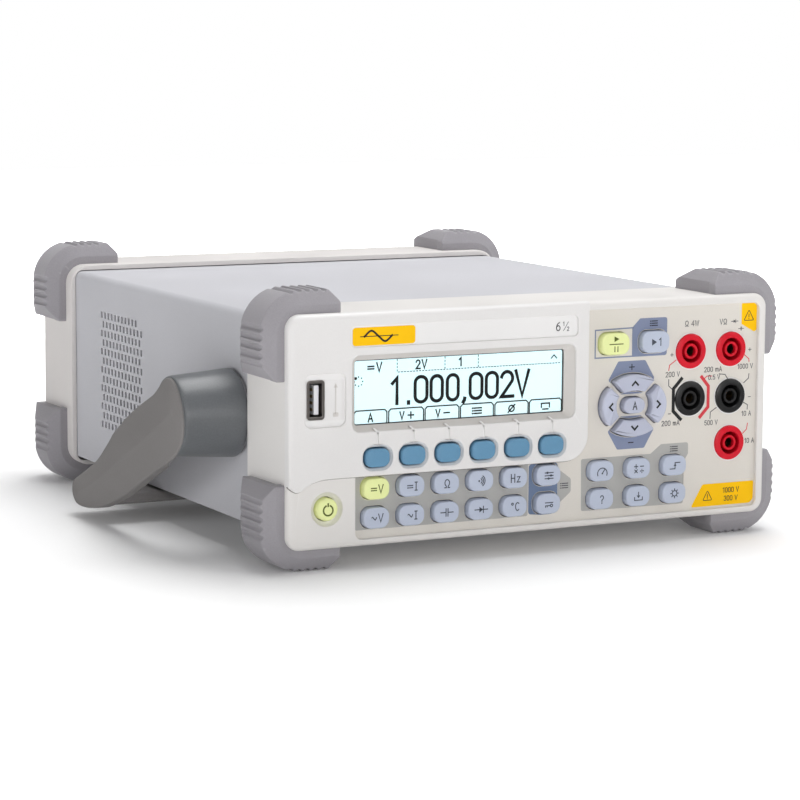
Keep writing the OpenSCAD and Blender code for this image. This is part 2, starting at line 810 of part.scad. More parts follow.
module rear_bumpers() {
    color([0.6, 0.58, 0.61]) place() translate([0, frame_y1 - 30.6, 0])
        four_corners() corner_bumper(rear_cut, 81.8, 1.8);
}

module case_screws() {
    color([0.55, 0.56, 0.58]) place() {
        for (x = [-screw_x, screw_x], z = [mid_z - 30, mid_z + 30]) {
            difference() {
                ycyl(x, z, rear_y + 0.02, rear_y + 2, 2.7);
                block(x - 1.6, x + 1.6, rear_y + 1.2, rear_y + 3, z - 0.35, z + 0.35);
            }
            ycyl(x, z, 258.8, rear_y + 0.1, 1.5);
        }
        for (x = [-90, 50], y = [60, 220]) {
            translate([x, y, tray_z - 1.6]) cylinder(h = 1.58, r = 2.7);
            translate([x, y, tray_z - 0.1]) cylinder(h = 8, r = 1.5);
            translate([x, y, 21.62]) cylinder(h = 2, r = 2.6, $fn = 6);
        }
    }
}

front_bezel();
display_fascia();
display_window();
display_module();
keypad_mat();
front_board();
usb_host_port();
input_jacks_red();
input_jacks_black();
jack_contacts();
softkey_1();
softkey_2();
softkey_3();
softkey_4();
softkey_5();
softkey_6();
key_dc_volts();
key_dc_current();
key_resistance();
key_continuity();
key_frequency();
key_preset();
key_ac_volts();
key_ac_current();
key_capacitance();
key_diode();
key_sensor();
key_second();
key_measure();
key_math();
key_trigger();
key_help();
key_save();
key_utility();
key_run();
key_single();
nav_up();
nav_down();
nav_left();
nav_right();
nav_auto();
power_key();
top_cover();
chassis_tray();
rear_frame();
rear_panel();
main_board();
transformer();
shield_can();
power_inlet();
power_rocker();
rear_connectors();
current_fuse_holder();
pivot_bosses();
handle_bail();
handle_hub_left();
handle_hub_right();
front_bumpers();
rear_bumpers();
case_screws();
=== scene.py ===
import math

import bmesh
import bpy
from mathutils import Matrix, Vector
from mathutils.geometry import tessellate_polygon


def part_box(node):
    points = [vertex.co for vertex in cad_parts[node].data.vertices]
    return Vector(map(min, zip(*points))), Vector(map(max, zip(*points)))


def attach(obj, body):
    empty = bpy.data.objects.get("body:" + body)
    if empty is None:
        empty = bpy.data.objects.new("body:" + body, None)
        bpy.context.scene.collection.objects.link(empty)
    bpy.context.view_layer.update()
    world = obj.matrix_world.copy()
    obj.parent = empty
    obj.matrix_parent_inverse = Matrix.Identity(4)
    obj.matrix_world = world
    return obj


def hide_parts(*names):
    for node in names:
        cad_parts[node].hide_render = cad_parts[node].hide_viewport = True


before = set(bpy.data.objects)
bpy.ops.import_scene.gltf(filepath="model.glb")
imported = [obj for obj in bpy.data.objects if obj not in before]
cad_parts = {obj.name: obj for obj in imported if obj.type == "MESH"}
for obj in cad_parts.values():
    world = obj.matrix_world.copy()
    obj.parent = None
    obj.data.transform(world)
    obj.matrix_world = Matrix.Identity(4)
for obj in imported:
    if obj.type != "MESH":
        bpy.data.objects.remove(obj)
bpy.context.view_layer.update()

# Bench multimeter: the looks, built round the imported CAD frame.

MM = 0.001
FACE_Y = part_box("front_bezel")[0][1]
FACE_Z0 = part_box("front_bezel")[0][2] / MM
FACE_Z1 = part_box("front_bezel")[1][2] / MM
HALF_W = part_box("front_bezel")[1][0] / MM
SKIRT = (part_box("front_bezel")[1][1] - FACE_Y) / MM
CASE = "case"


def at(x, y, z):
    """Case millimetres (depth from the bezel's face) to the row frame in metres."""
    return Vector((x * MM, FACE_Y + y * MM, z * MM))


def node_span(name):
    """A CAD node's box in case millimetres."""
    lo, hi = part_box(name)
    return ((lo[0] / MM, (lo[1] - FACE_Y) / MM, lo[2] / MM), (hi[0] / MM, (hi[1] - FACE_Y) / MM, hi[2] / MM))


def node_mid(name):
    lo, hi = node_span(name)
    return ((lo[0] + hi[0]) / 2, (lo[2] + hi[2]) / 2)


# ---------------------------------------------------------------- materials

def add_node(nt, kind, source=None, **values):
    """A new shader node: its first input linked from source, its sockets set by name (_ for a space)."""
    node = nt.nodes.new("ShaderNode" + kind)
    for socket, value in values.items():
        node.inputs[socket.replace("_", " ")].default_value = value
    if source:
        nt.links.new(source, node.inputs[0])
    return node


def spread(nt, source, low, high, start=0.3, stop=0.7):
    """A noise value spread between low and high."""
    return add_node(nt, "MapRange", source, From_Min=start, From_Max=stop, To_Min=low, To_Max=high).outputs[0]


def worn_and_highlit_edges(nt, tint, color, edge):
    """The tint with its outer edges paler by up to edge: partly wear, partly a painted highlight along the
    edges.
    """
    geo = add_node(nt, "NewGeometry")
    mix = nt.nodes.new("ShaderNodeMix")
    mix.data_type = "RGBA"
    mix.inputs["B"].default_value = tuple(min(1.0, c * 1.35 + 0.03) for c in color) + (1,)
    nt.links.new(spread(nt, geo.outputs["Pointiness"], 0, edge, 0.52, 0.62), mix.inputs["Factor"])
    nt.links.new(tint, mix.inputs["A"])
    return mix.outputs["Result"]


def scratched(nt, coords, grain, scratch):
    """The grain's height with long fine scratches on it."""
    stretched = add_node(nt, "Mapping", coords, Scale=(1, 40, 40))
    lines = add_node(nt, "TexNoise", stretched.outputs[0], Scale=60, Detail=2)
    total = add_node(nt, "Math", lines.outputs["Fac"])
    total.operation = "MULTIPLY_ADD"
    total.inputs[1].default_value = scratch
    nt.links.new(grain, total.inputs[2])
    return total.outputs[0]


def material(name, color, rough=0.5, metallic=0.0, grain=2500.0, bump=0.15, depth=0.00005, blotch=0.03,
             rough_var=0.06, coat=0.0, sheen=0.0, emit=0.0, spec=0.5, edge=0.0, scratch=0.0):
    """A moulded or painted surface: fine grain in the bump, slow colour and gloss changes, edges paler from
    wear and from a painted highlight.
    """
    m = bpy.data.materials.new(name)
    m.use_nodes = True
    nt = m.node_tree
    nt.nodes.clear()
    shader = add_node(nt, "BsdfPrincipled", Metallic=metallic, Specular_IOR_Level=spec, Coat_Weight=coat,
                      Coat_Roughness=0.12, Sheen_Weight=sheen)
    add_node(nt, "OutputMaterial", shader.outputs[0])
    coords = add_node(nt, "TexCoord").outputs["Object"]
    placed = add_node(nt, "Mapping", coords).outputs[0]
    fine = add_node(nt, "TexNoise", placed, Scale=grain, Detail=3).outputs["Fac"]
    slow = add_node(nt, "TexNoise", placed, Scale=28, Detail=4).outputs["Fac"]
    # colour: slow blotches and a little of the grain
    both = add_node(nt, "Math", spread(nt, slow, 1 - blotch, 1 + blotch))
    both.operation = "MULTIPLY"
    nt.links.new(spread(nt, fine, 1 - blotch, 1 + blotch), both.inputs[1])
    mix = nt.nodes.new("ShaderNodeMix")
    mix.data_type = "RGBA"
    mix.blend_type = "MULTIPLY"
    mix.inputs["Factor"].default_value = 1.0
    mix.inputs["A"].default_value = (*color, 1)
    nt.links.new(both.outputs[0], mix.inputs["B"])
    tint = mix.outputs["Result"]
    # outer edges made paler: part wear, part painted highlight on ridges and corners
    if edge:
        tint = worn_and_highlit_edges(nt, tint, color, edge)
    nt.links.new(tint, shader.inputs["Base Color"])
    gloss = spread(nt, slow, max(0.02, rough - rough_var), min(1.0, rough + rough_var))
    nt.links.new(gloss, shader.inputs["Roughness"])
    relief = add_node(nt, "Bump", Strength=bump, Distance=depth)
    height = scratched(nt, coords, fine, scratch) if scratch else fine
    nt.links.new(height, relief.inputs["Height"])
    nt.links.new(relief.outputs[0], shader.inputs["Normal"])
    if emit:
        shader.inputs["Emission Color"].default_value = (*color, 1)
        shader.inputs["Emission Strength"].default_value = emit
    return m


def srgb(r, g, b):
    """Eight-bit display colour to linear."""
    return tuple((c / 255 / 12.92) if c <= 10 else ((c / 255 + 0.055) / 1.055) ** 2.4 for c in (r, g, b))


M = {
    "bezel": material("bezel_plastic", srgb(226, 223, 220), 0.46, bump=0.2, blotch=0.012, edge=0.25),
    "fascia": material("fascia_plastic", srgb(228, 226, 225), 0.42, bump=0.2, blotch=0.012, edge=0.25),
    "fascia_slope": material("display_frame", srgb(212, 208, 204), 0.45, bump=0.2, blotch=0.012),
    # painted shadow: dark colour for the shade under the fascia's lower edge
    "seam_shadow": material("painted_seam_shadow", srgb(132, 127, 124), 0.6, bump=0.1, blotch=0.03),
    "key_ink": material("key_ink", srgb(70, 76, 90), 0.5, bump=0.1, blotch=0.02),
    "panel": material("panel_plastic", srgb(219, 214, 206), 0.5, bump=0.22, blotch=0.014),
    "frame": material("frame_plastic", srgb(219, 215, 213), 0.48, bump=0.2, blotch=0.014, edge=0.25),
    "cover": material("cover_paint", srgb(194, 194, 199), 0.6, grain=1600, bump=0.35, depth=0.00008,
                      blotch=0.02, spec=0.12),
    "tray": material("tray_steel", (0.55, 0.55, 0.57), 0.38, metallic=1, grain=900, bump=0.1, blotch=0.05,
                     scratch=0.6),
    "bumper": material("bumper_rubber", srgb(155, 152, 157), 0.62, grain=1800, bump=0.5, depth=0.0001,
                       blotch=0.04, sheen=0.12, edge=0.35, spec=0.35),
    "arm": material("bail_plastic", srgb(129, 126, 125), 0.6, grain=1500, bump=0.5, depth=0.0001,
                    blotch=0.035, edge=0.3, spec=0.4),
    "hub": material("hub_plastic", srgb(103, 106, 109), 0.34, grain=1500, bump=0.6, depth=0.0001,
                    blotch=0.06, rough_var=0.04, edge=0.2),
    "pale_key": material("pale_key", srgb(186, 194, 212), 0.5, bump=0.2, blotch=0.015, edge=0.3),
    "nav_key": material("nav_key", srgb(184, 188, 206), 0.5, bump=0.2, blotch=0.015, edge=0.3),
    "lit_key": material("lit_key", srgb(219, 226, 158), 0.5, bump=0.2, blotch=0.015, emit=0.16),
    "soft_key": material("soft_key", srgb(98, 148, 182), 0.42, bump=0.2, blotch=0.02, edge=0.35),
    "grey_ink": material("grey_ink", srgb(176, 175, 172), 0.55, bump=0.12, blotch=0.012),
    "blue_ink": material("blue_ink", srgb(128, 138, 166), 0.55, bump=0.12, blotch=0.012),
    "navy_ink": material("navy_ink", srgb(108, 126, 156), 0.55, bump=0.12, blotch=0.012),
    "yellow_ink": material("yellow_ink", srgb(252, 196, 0), 0.5, bump=0.12, blotch=0.012, spec=0.15),
    "black_ink": material("black_ink", srgb(34, 34, 36), 0.5, bump=0.1, blotch=0.03),
    "red_ink": material("red_ink", srgb(214, 56, 66), 0.5, bump=0.1, blotch=0.02),
    "dim_ink": material("dim_ink", srgb(84, 84, 88), 0.5, bump=0.1, blotch=0.02),
    "olive_ink": material("olive_ink", srgb(88, 100, 22), 0.5, bump=0.1, blotch=0.02),
    "red_jack": material("red_plastic", srgb(214, 14, 40), 0.34, bump=0.1, blotch=0.02, coat=0.04, spec=0.3),
    "black_jack": material("black_plastic", srgb(36, 36, 37), 0.34, bump=0.12, blotch=0.04, coat=0.1),
    "contact": material("contact_metal", (0.45, 0.36, 0.22), 0.35, metallic=1, grain=700, bump=0.05,
                        blotch=0.04),
    "steel": material("plated_steel", (0.68, 0.68, 0.7), 0.26, metallic=1, grain=900, bump=0.08,
                      blotch=0.04, scratch=0.3),
    "screw": material("screw_steel", (0.5, 0.5, 0.52), 0.32, metallic=1, grain=900, bump=0.1, blotch=0.05),
    "dark": material("inlet_plastic", srgb(30, 30, 32), 0.45, bump=0.25, blotch=0.05, edge=0.3),
    "lcd": material("display_face", srgb(224, 249, 252), 0.4, bump=0.02, blotch=0.008, emit=0.42),
    "lcd_rim": material("display_rim", srgb(66, 72, 78), 0.4, bump=0.1, blotch=0.03),
    "lcd_ink": material("display_ink", srgb(6, 8, 12), 0.5, bump=0.05, blotch=0.03),
    "board": material("board_mask", (0.03, 0.16, 0.07), 0.35, grain=1200, bump=0.2, blotch=0.08, coat=0.2),
    "mat": material("mat_rubber", srgb(170, 170, 166), 0.6, bump=0.3, blotch=0.04),
    "lamination": material("lamination", (0.08, 0.08, 0.085), 0.4, metallic=0.6, grain=900, bump=0.3,
                           blotch=0.08),
    "rear_paint": material("rear_paint", srgb(205, 205, 208), 0.5, grain=1500, bump=0.3, depth=0.00008,
                           blotch=0.02),
    "stud": material("stud_alloy", (0.6, 0.6, 0.62), 0.32, metallic=1, grain=900, bump=0.1, blotch=0.04,
                     scratch=0.4),
    "usb_steel": material("socket_steel", (0.36, 0.33, 0.31), 0.3, metallic=1, grain=900, bump=0.08,
                          blotch=0.06),
    "tongue": material("socket_tongue", srgb(232, 232, 236), 0.4, bump=0.1, blotch=0.02),
}


def clear_window():
    """The display's thin clear window: see-through with a faint gloss."""
    m = bpy.data.materials.new("window_clear")
    m.use_nodes = True
    nt = m.node_tree
    nt.nodes.clear()
    grain = add_node(nt, "TexNoise", add_node(nt, "TexCoord").outputs["Object"], Scale=900)
    relief = add_node(nt, "Bump", Strength=0.02, Distance=0.00002)
    nt.links.new(grain.outputs["Fac"], relief.inputs["Height"])
    gloss = add_node(nt, "BsdfGlossy", Roughness=0.08)
    nt.links.new(relief.outputs[0], gloss.inputs["Normal"])
    mix = add_node(nt, "MixShader", add_node(nt, "Fresnel", IOR=1.25).outputs[0])
    nt.links.new(add_node(nt, "BsdfTransparent").outputs[0], mix.inputs[1])
    nt.links.new(gloss.outputs[0], mix.inputs[2])
    add_node(nt, "OutputMaterial", mix.outputs[0])
    return m


M["window"] = clear_window()

# ---------------------------------------------------------------- outlines in X and Z (mm), counterclockwise


def arc(cx, cz, r, a0, a1, n):
    return [(cx + r * math.cos(math.radians(a0 + (a1 - a0) * i / n)),
             cz + r * math.sin(math.radians(a0 + (a1 - a0) * i / n))) for i in range(n + 1)]


def rr(cx, cz, w, h, r, n=7):
    pts = []
    for sx, sz, a in ((1, -1, -90), (1, 1, 0), (-1, 1, 90), (-1, -1, 180)):
        pts += arc(cx + sx * (w / 2 - r), cz + sz * (h / 2 - r), r, a, a + 90, n)
    return pts


def disc(cx, cz, r, n=48):
    return arc(cx, cz, r, 0, 360 * (n - 1) / n, n - 1)


def spun(cx, cz, r, n):
    """n points round a centre, the first at angle 0."""
    turns = [2 * math.pi * i / n for i in range(n)]
    return [(cx + r * math.cos(a), cz + r * math.sin(a)) for a in turns]


def area2(p):
    return sum(p[i - 1][0] * p[i][1] - p[i][0] * p[i - 1][1] for i in range(len(p)))


def ccw(p):
    return p if area2(p) > 0 else p[::-1]


def fillet(pts, r, n=6):
    """Rounds a polygon's corners; r is one radius or one per corner."""
    pts = ccw(pts) if not isinstance(r, (list, tuple)) else pts
    out = []
    for i, b in enumerate(pts):
        a, c = Vector(pts[i - 1]), Vector(pts[(i + 1) % len(pts)])
        b = Vector(b)
        ri = r[i] if isinstance(r, (list, tuple)) else r
        u, v = (a - b), (c - b)
        lu, lv = u.length, v.length
        if ri <= 0 or lu < 1e-6 or lv < 1e-6:
            out.append(tuple(b))
            continue
        u.normalize()
        v.normalize()
        ang = u.angle(v)
        if ang > math.pi - 0.02:
            out.append(tuple(b))
            continue
        t = min(ri / math.tan(ang / 2), lu * 0.49, lv * 0.49)
        rad = t * math.tan(ang / 2)
        mid = b + (u + v).normalized() * (rad / math.sin(ang / 2))
        p0, p1 = b + u * t, b + v * t
        a0 = math.atan2(p0.y - mid.y, p0.x - mid.x)
        a1 = math.atan2(p1.y - mid.y, p1.x - mid.x)
        d = (a1 - a0 + math.pi) % (2 * math.pi) - math.pi
        for k in range(n + 1):
            q = a0 + d * k / n
            out.append((mid.x + rad * math.cos(q), mid.y + rad * math.sin(q)))
    return ccw(out)


def smooth_line(pts, n=6):
    """A Catmull-Rom curve through open points."""
    out = []
    for i in range(len(pts) - 1):
        p0 = Vector(pts[max(i - 1, 0)])
        p1, p2 = Vector(pts[i]), Vector(pts[i + 1])
        p3 = Vector(pts[min(i + 2, len(pts) - 1)])
        for k in range(n):
            t = k / n
            out.append(tuple(0.5 * ((2 * p1) + (p2 - p0) * t + (2 * p0 - 5 * p1 + 4 * p2 - p3) * t * t
                                    + (3 * p1 - p0 - 3 * p2 + p3) * t ** 3)))
    out.append(tuple(pts[-1]))
    return out


def grown(loop, d):
    """The loop moved d outward along its corner normals (negative: inward); d may be one per corner."""
    n = len(loop)
    ds = d if isinstance(d, (list, tuple)) else [d] * n
    out = []
    for i in range(n):
        a, b, c = Vector(loop[i - 1]), Vector(loop[i]), Vector(loop[(i + 1) % n])
        u, v = (b - a), (c - b)
        if u.length < 1e-7:
            u = v
        if v.length < 1e-7:
            v = u
        u, v = u.normalized(), v.normalized()
        m = Vector((u.y + v.y, -u.x - v.x))
        if m.length < 1e-6:
            m = Vector((u.y, -u.x))
        m.normalize()
        k = max(0.35, m.dot(Vector((u.y, -u.x))))
        out.append((b.x + m.x * ds[i] / k, b.y + m.y * ds[i] / k))
    return out


# ---------------------------------------------------------------- mesh building


class Build:
    """Collects vertices, faces and material numbers for one piece."""

    def __init__(self, name, body, mats, slot=None, replaces=()):
        self.name, self.body, self.slot, self.replaces = name, body, slot, replaces
        self.mats = mats if isinstance(mats, (list, tuple)) else [mats]
        self.v, self.f, self.m, self.flat = [], [], [], []

    def add(self, verts, faces, mat=0, flat=False):
        base = len(self.v)
        self.v += [tuple(p) for p in verts]
        self.f += [tuple(base + i for i in f) for f in faces]
        self.m += [mat] * len(faces)
        self.flat += [int(flat)] * len(faces)

    def loft(self, rings, mat=0, closed=True, cap0=False, cap1=False):
        """Quads between rings of equal length; rings are lists of 3-D points in case millimetres."""
        n = len(rings[0])
        verts = [at(*p) for r in rings for p in r]
        faces = []
        for k in range(len(rings) - 1):
            for i in range(n if closed else n - 1):
                j = (i + 1) % n
                faces.append((k * n + i, k * n + j, (k + 1) * n + j, (k + 1) * n + i))
        if cap0:
            faces.append(tuple(range(n))[::-1])
        if cap1:
            faces.append(tuple((len(rings) - 1) * n + i for i in range(n)))
        self.add(verts, faces, mat)

    def slab(self, outer, holes, y0, y1, edge=0.3, mat=0, segs=3):
        """A flat plate facing -Y from depth y0 back to y1, its front edges rounded by edge.

        A hole is a loop, or a loop with its own edge radius.
        """
        loops = [(ccw(outer), edge)]
        for h in holes:
            own = isinstance(h, tuple) and isinstance(h[1], float)
            loops.append((ccw(h[0])[::-1], h[1]) if own else (ccw(h)[::-1], edge))
        front, rear = [], []
        for pts, e in loops:
            es = e if isinstance(e, list) else [e] * len(pts)
            steps = segs if max(es) > 0 else 0
            solid = []
            for k in range(steps + 1):
                a = math.pi / 2 * (1 - (k / steps) ** 1.5) if steps else 0.0
                ins, dep = 1 - math.cos(a), 1 - math.sin(a)
                ring = grown(pts, [-q * ins for q in es])
                solid.append([(x, y0 + q * dep, z) for (x, z), q in zip(ring, es)])
            solid.append([(x, y1, z) for x, z in grown(pts, 0)])
            self.loft([r[::-1] for r in solid], mat)
            front.append(solid[0])
            rear.append(solid[-1])
        for group, y, flip in ((front, y0, False), (rear, y1, True)):
            flat = [p for g in group for p in g]
            tris = tessellate_polygon([[Vector((p[0], p[2], 0)) for p in g] for g in group])
            faces = []
            for t in tris:
                a, b, c = (flat[i] for i in t)
                ar = (b[0] - a[0]) * (c[2] - a[2]) - (c[0] - a[0]) * (b[2] - a[2])
                if abs(ar) < 1e-10:
                    continue
                if (ar < 0) != flip:
                    t = t[::-1]
                faces.append(tuple(t))
            self.add([at(*p) for p in flat], faces, mat, True)

    def pillow(self, loop, y_tip, y_base, edge=1.0, crown=0.0, segs=5):
        """A key cap: walls, a rounded edge and a gently crowned top."""
        loop = ccw(loop)
        rings = [[(x, y_base, z) for x, z in grown(loop, 0)]]
        for k in range(segs + 1):
            a = math.pi / 2 * k / segs
            d, y = edge * (1 - math.cos(a)), y_tip + edge * (1 - math.sin(a))
            rings.append([(x, y, z) for x, z in grown(loop, -d)])
        top = grown(loop, -edge)
        cx = sum(p[0] for p in top) / len(top)
        cz = sum(p[1] for p in top) / len(top)
        if crown:
            for s in (0.8, 0.55, 0.3):
                y = y_tip - crown * (1 - s * s)
                rings.append([(cx + (x - cx) * s, y, cz + (z - cz) * s) for x, z in top])
        self.loft([r[::-1] for r in rings], cap0=True, cap1=True)

    def turned(self, cx, cz, profile, n=56):
        """Revolved about an axis along Y; profile is (radius, depth) from front to back round its outside."""
        rings = [[(x, y, z) for x, z in spun(cx, cz, r, n)] for r, y in profile]
        self.loft(rings, cap0=profile[0][0] < 0.6, cap1=profile[-1][0] < 0.6)

    def turned_x(self, y, z, profile, sign=1, n=72):
        """Revolved about an axis along X; profile is (radius, x)."""
        rings = [[(sign * x, *p) for p in spun(y, z, r, n)] for r, x in profile]
        self.loft(rings, cap0=profile[0][0] < 0.6, cap1=profile[-1][0] < 0.6)

    def ribbon(self, pts, w, y0, y1, mat=0, closed=False):
        """A drawn line of width w lying between two depths."""
        pts = [p for i, p in enumerate(pts) if i == 0 or (Vector(p) - Vector(pts[i - 1])).length > 1e-4]
        if closed:
            ring = ccw(pts)
            self.slab(grown(ring, w / 2), [grown(ring, -w / 2)], y0, y1, edge=0, mat=mat)
            return
        left, right = [], []
        for i, p in enumerate(pts):
            p = Vector(p)
            a = Vector(pts[max(i - 1, 0)])
            c = Vector(pts[min(i + 1, len(pts) - 1)])
            u = (p - a).normalized() if i > 0 else (c - p).normalized()
            v = (c - p).normalized() if i < len(pts) - 1 else u
            m = Vector((-u.y - v.y, u.x + v.x))
            if m.length < 1e-6:
                m = Vector((-u.y, u.x))
            m.normalize()
            k = max(0.45, m.dot(Vector((-u.y, u.x))))
            if i == 0:
                p = p - u * w * 0.5
            elif i == len(pts) - 1:
                p = p + v * w * 0.5
            left.append(tuple(p + m * (w / 2 / k)))
            right.append(tuple(p - m * (w / 2 / k)))
        self.slab(left + right[::-1], [], y0, y1, edge=0, mat=mat)

    def done(self, sharp=38):
        """Welds the mesh, sharpens its corners and rides it on its body."""
        me = bpy.data.meshes.new(self.name)
        me.from_pydata(self.v, [], self.f)
        for m in self.mats:
            me.materials.append(m)
        me.polygons.foreach_set("material_index", self.m)
        me.attributes.new("cap", "INT", "FACE").data.foreach_set("value", self.flat)
        me.update()
        bm = bmesh.new()
        bm.from_mesh(me)
        bmesh.ops.remove_doubles(bm, verts=bm.verts, dist=2e-7)
        bmesh.ops.recalc_face_normals(bm, faces=bm.faces)
        # a flat cap keeps its own normals right up to its border
        cap = bm.faces.layers.int["cap"]
        bm.edges.index_update()
        crisp = [e.index for e in bm.edges if len({f[cap] for f in e.link_faces}) > 1]
        bm.to_mesh(me)
        bm.free()
        me.polygons.foreach_set("use_smooth", [True] * len(me.polygons))
        me.set_sharp_from_angle(angle=math.radians(sharp))
        for i in crisp:
            me.edges[i].use_edge_sharp = True
        o = bpy.data.objects.new(self.name, me)
        bpy.context.scene.collection.objects.link(o)
        wn = o.modifiers.new("normals", "WEIGHTED_NORMAL")
        wn.keep_sharp = True
        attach(o, self.body)
        if self.replaces:
            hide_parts(*self.replaces)


# ---------------------------------------------------------------- stroke marks: digits, letters, signs

def circ(cx, cy, rx, ry, a0=0, a1=360, n=20):
    return [(cx + rx * math.cos(math.radians(a0 + (a1 - a0) * i / n)),
             cy + ry * math.sin(math.radians(a0 + (a1 - a0) * i / n))) for i in range(n + 1)]


def ring(cx, cy, rx, ry, n=24):
    return ("o", circ(cx, cy, rx, ry, 0, 360 * (n - 1) / n, n - 1))


# every glyph stands in a cell one unit high: (width, strokes)
GLYPHS = {
    "0": (0.62, [("o", fillet([(0.06, 0), (0.56, 0), (0.56, 1), (0.06, 1)], 0.24, 5))]),
    "1": (0.42, [[(0.06, 0.8), (0.3, 1), (0.3, 0)]]),
    "2": (0.62, [circ(0.31, 0.73, 0.25, 0.27, 165, -28, 10) + [(0.06, 0), (0.58, 0)]]),
    "3": (0.6, [circ(0.3, 0.75, 0.23, 0.25, 160, -80, 9), circ(0.3, 0.27, 0.26, 0.27, 85, -160, 10)]),
    "4": (0.64, [[(0.46, 0), (0.46, 1), (0.04, 0.3), (0.62, 0.3)]]),
    "5": (0.6, [[(0.54, 1), (0.12, 1), (0.08, 0.55)] + circ(0.3, 0.31, 0.26, 0.31, 110, -150, 12)]),
    "6": (0.62, [ring(0.31, 0.3, 0.25, 0.3, 18), circ(0.56, 0.32, 0.5, 0.66, 100, 180, 8)]),
    "V": (0.66, [[(0.03, 1), (0.33, 0), (0.63, 1)]]),
    "A": (0.66, [[(0.03, 0), (0.33, 1), (0.63, 0)], [(0.15, 0.34), (0.51, 0.34)]]),
    "I": (0.4, [[(0.2, 0), (0.2, 1)], [(0.06, 0), (0.34, 0)], [(0.06, 1), (0.34, 1)]]),
    "H": (0.66, [[(0.08, 0), (0.08, 1)], [(0.58, 0), (0.58, 1)], [(0.08, 0.52), (0.58, 0.52)]]),
    "z": (0.5, [[(0.06, 0.66), (0.44, 0.66), (0.06, 0), (0.46, 0)]]),
    "C": (0.6, [circ(0.34, 0.5, 0.28, 0.5, 50, 310, 16)]),
    "W": (0.9, [[(0.03, 1), (0.24, 0), (0.45, 0.9), (0.66, 0), (0.87, 1)]]),
    "m": (0.8, [[(0.08, 0), (0.08, 0.66)],
                [(0.08, 0.5)] + circ(0.24, 0.48, 0.16, 0.18, 150, 0, 6) + [(0.4, 0)],
                [(0.4, 0.5)] + circ(0.56, 0.48, 0.16, 0.18, 150, 0, 6) + [(0.72, 0)]]),
    "ohm": (0.8, [[(0.06, 0), (0.28, 0), (0.28, 0.14)] + circ(0.4, 0.58, 0.32, 0.42, 242, -62, 20)
                  + [(0.52, 0), (0.74, 0)]]),
    "dc": (0.8, [[(0.05, 0.62), (0.75, 0.62)], [(0.05, 0.34), (0.18, 0.34)], [(0.34, 0.34), (0.47, 0.34)],
                 [(0.62, 0.34), (0.75, 0.34)]]),
    "ac": (0.8, [smooth_line([(0.04, 0.38), (0.2, 0.66), (0.4, 0.48), (0.6, 0.3), (0.76, 0.58)], 5)]),
    "+": (0.7, [[(0.1, 0.5), (0.6, 0.5)], [(0.35, 0.25), (0.35, 0.75)]]),
    "-": (0.6, [[(0.08, 0.5), (0.52, 0.5)]]),
    "deg": (0.35, [ring(0.18, 0.85, 0.12, 0.13, 12)]),
    ".": (0.26, [[(0.13, -0.02), (0.13, 0.05)]]),
    ",": (0.26, [[(0.16, 0.05), (0.14, -0.06), (0.06, -0.2)]]),
    " ": (0.3, []),
    "?": (0.6, [circ(0.3, 0.73, 0.22, 0.25, 165, -45, 9) + [(0.3, 0.42), (0.3, 0.26)],
                [(0.3, 0.0), (0.3, 0.06)]]),
}


def open_or_closed(stroke):
    """Whether a stroke closes on itself, and its points."""
    return (True, stroke[1]) if stroke[0] == "o" else (False, stroke)


def glyph_run(text, h, gap=0.16):
    """Strokes of a run of marks, centred on its width, its foot at zero."""
    out, x = [], 0.0
    for g in text:
        w, strokes = GLYPHS[g]
        for stroke in strokes:
            closed, pts = open_or_closed(stroke)
            out.append((closed, [((x + p[0]) * h, p[1] * h) for p in pts]))
        x += w + gap
    width = (x - gap) * h
    return [(c, [(px - width / 2, pz) for px, pz in pts]) for c, pts in out]


def draw(b, strokes, cx, cz, w, y, mat, proud=0.03, sink=0.05):
    for closed, pts in strokes:
        b.ribbon([(cx + x, cz + z) for x, z in pts], w, y - proud, y + sink, mat, closed)


def rows(x0, x1, heights):
    """Level lines from x0 to x1, one at each height."""
    return [[(x0, z), (x1, z)] for z in heights]


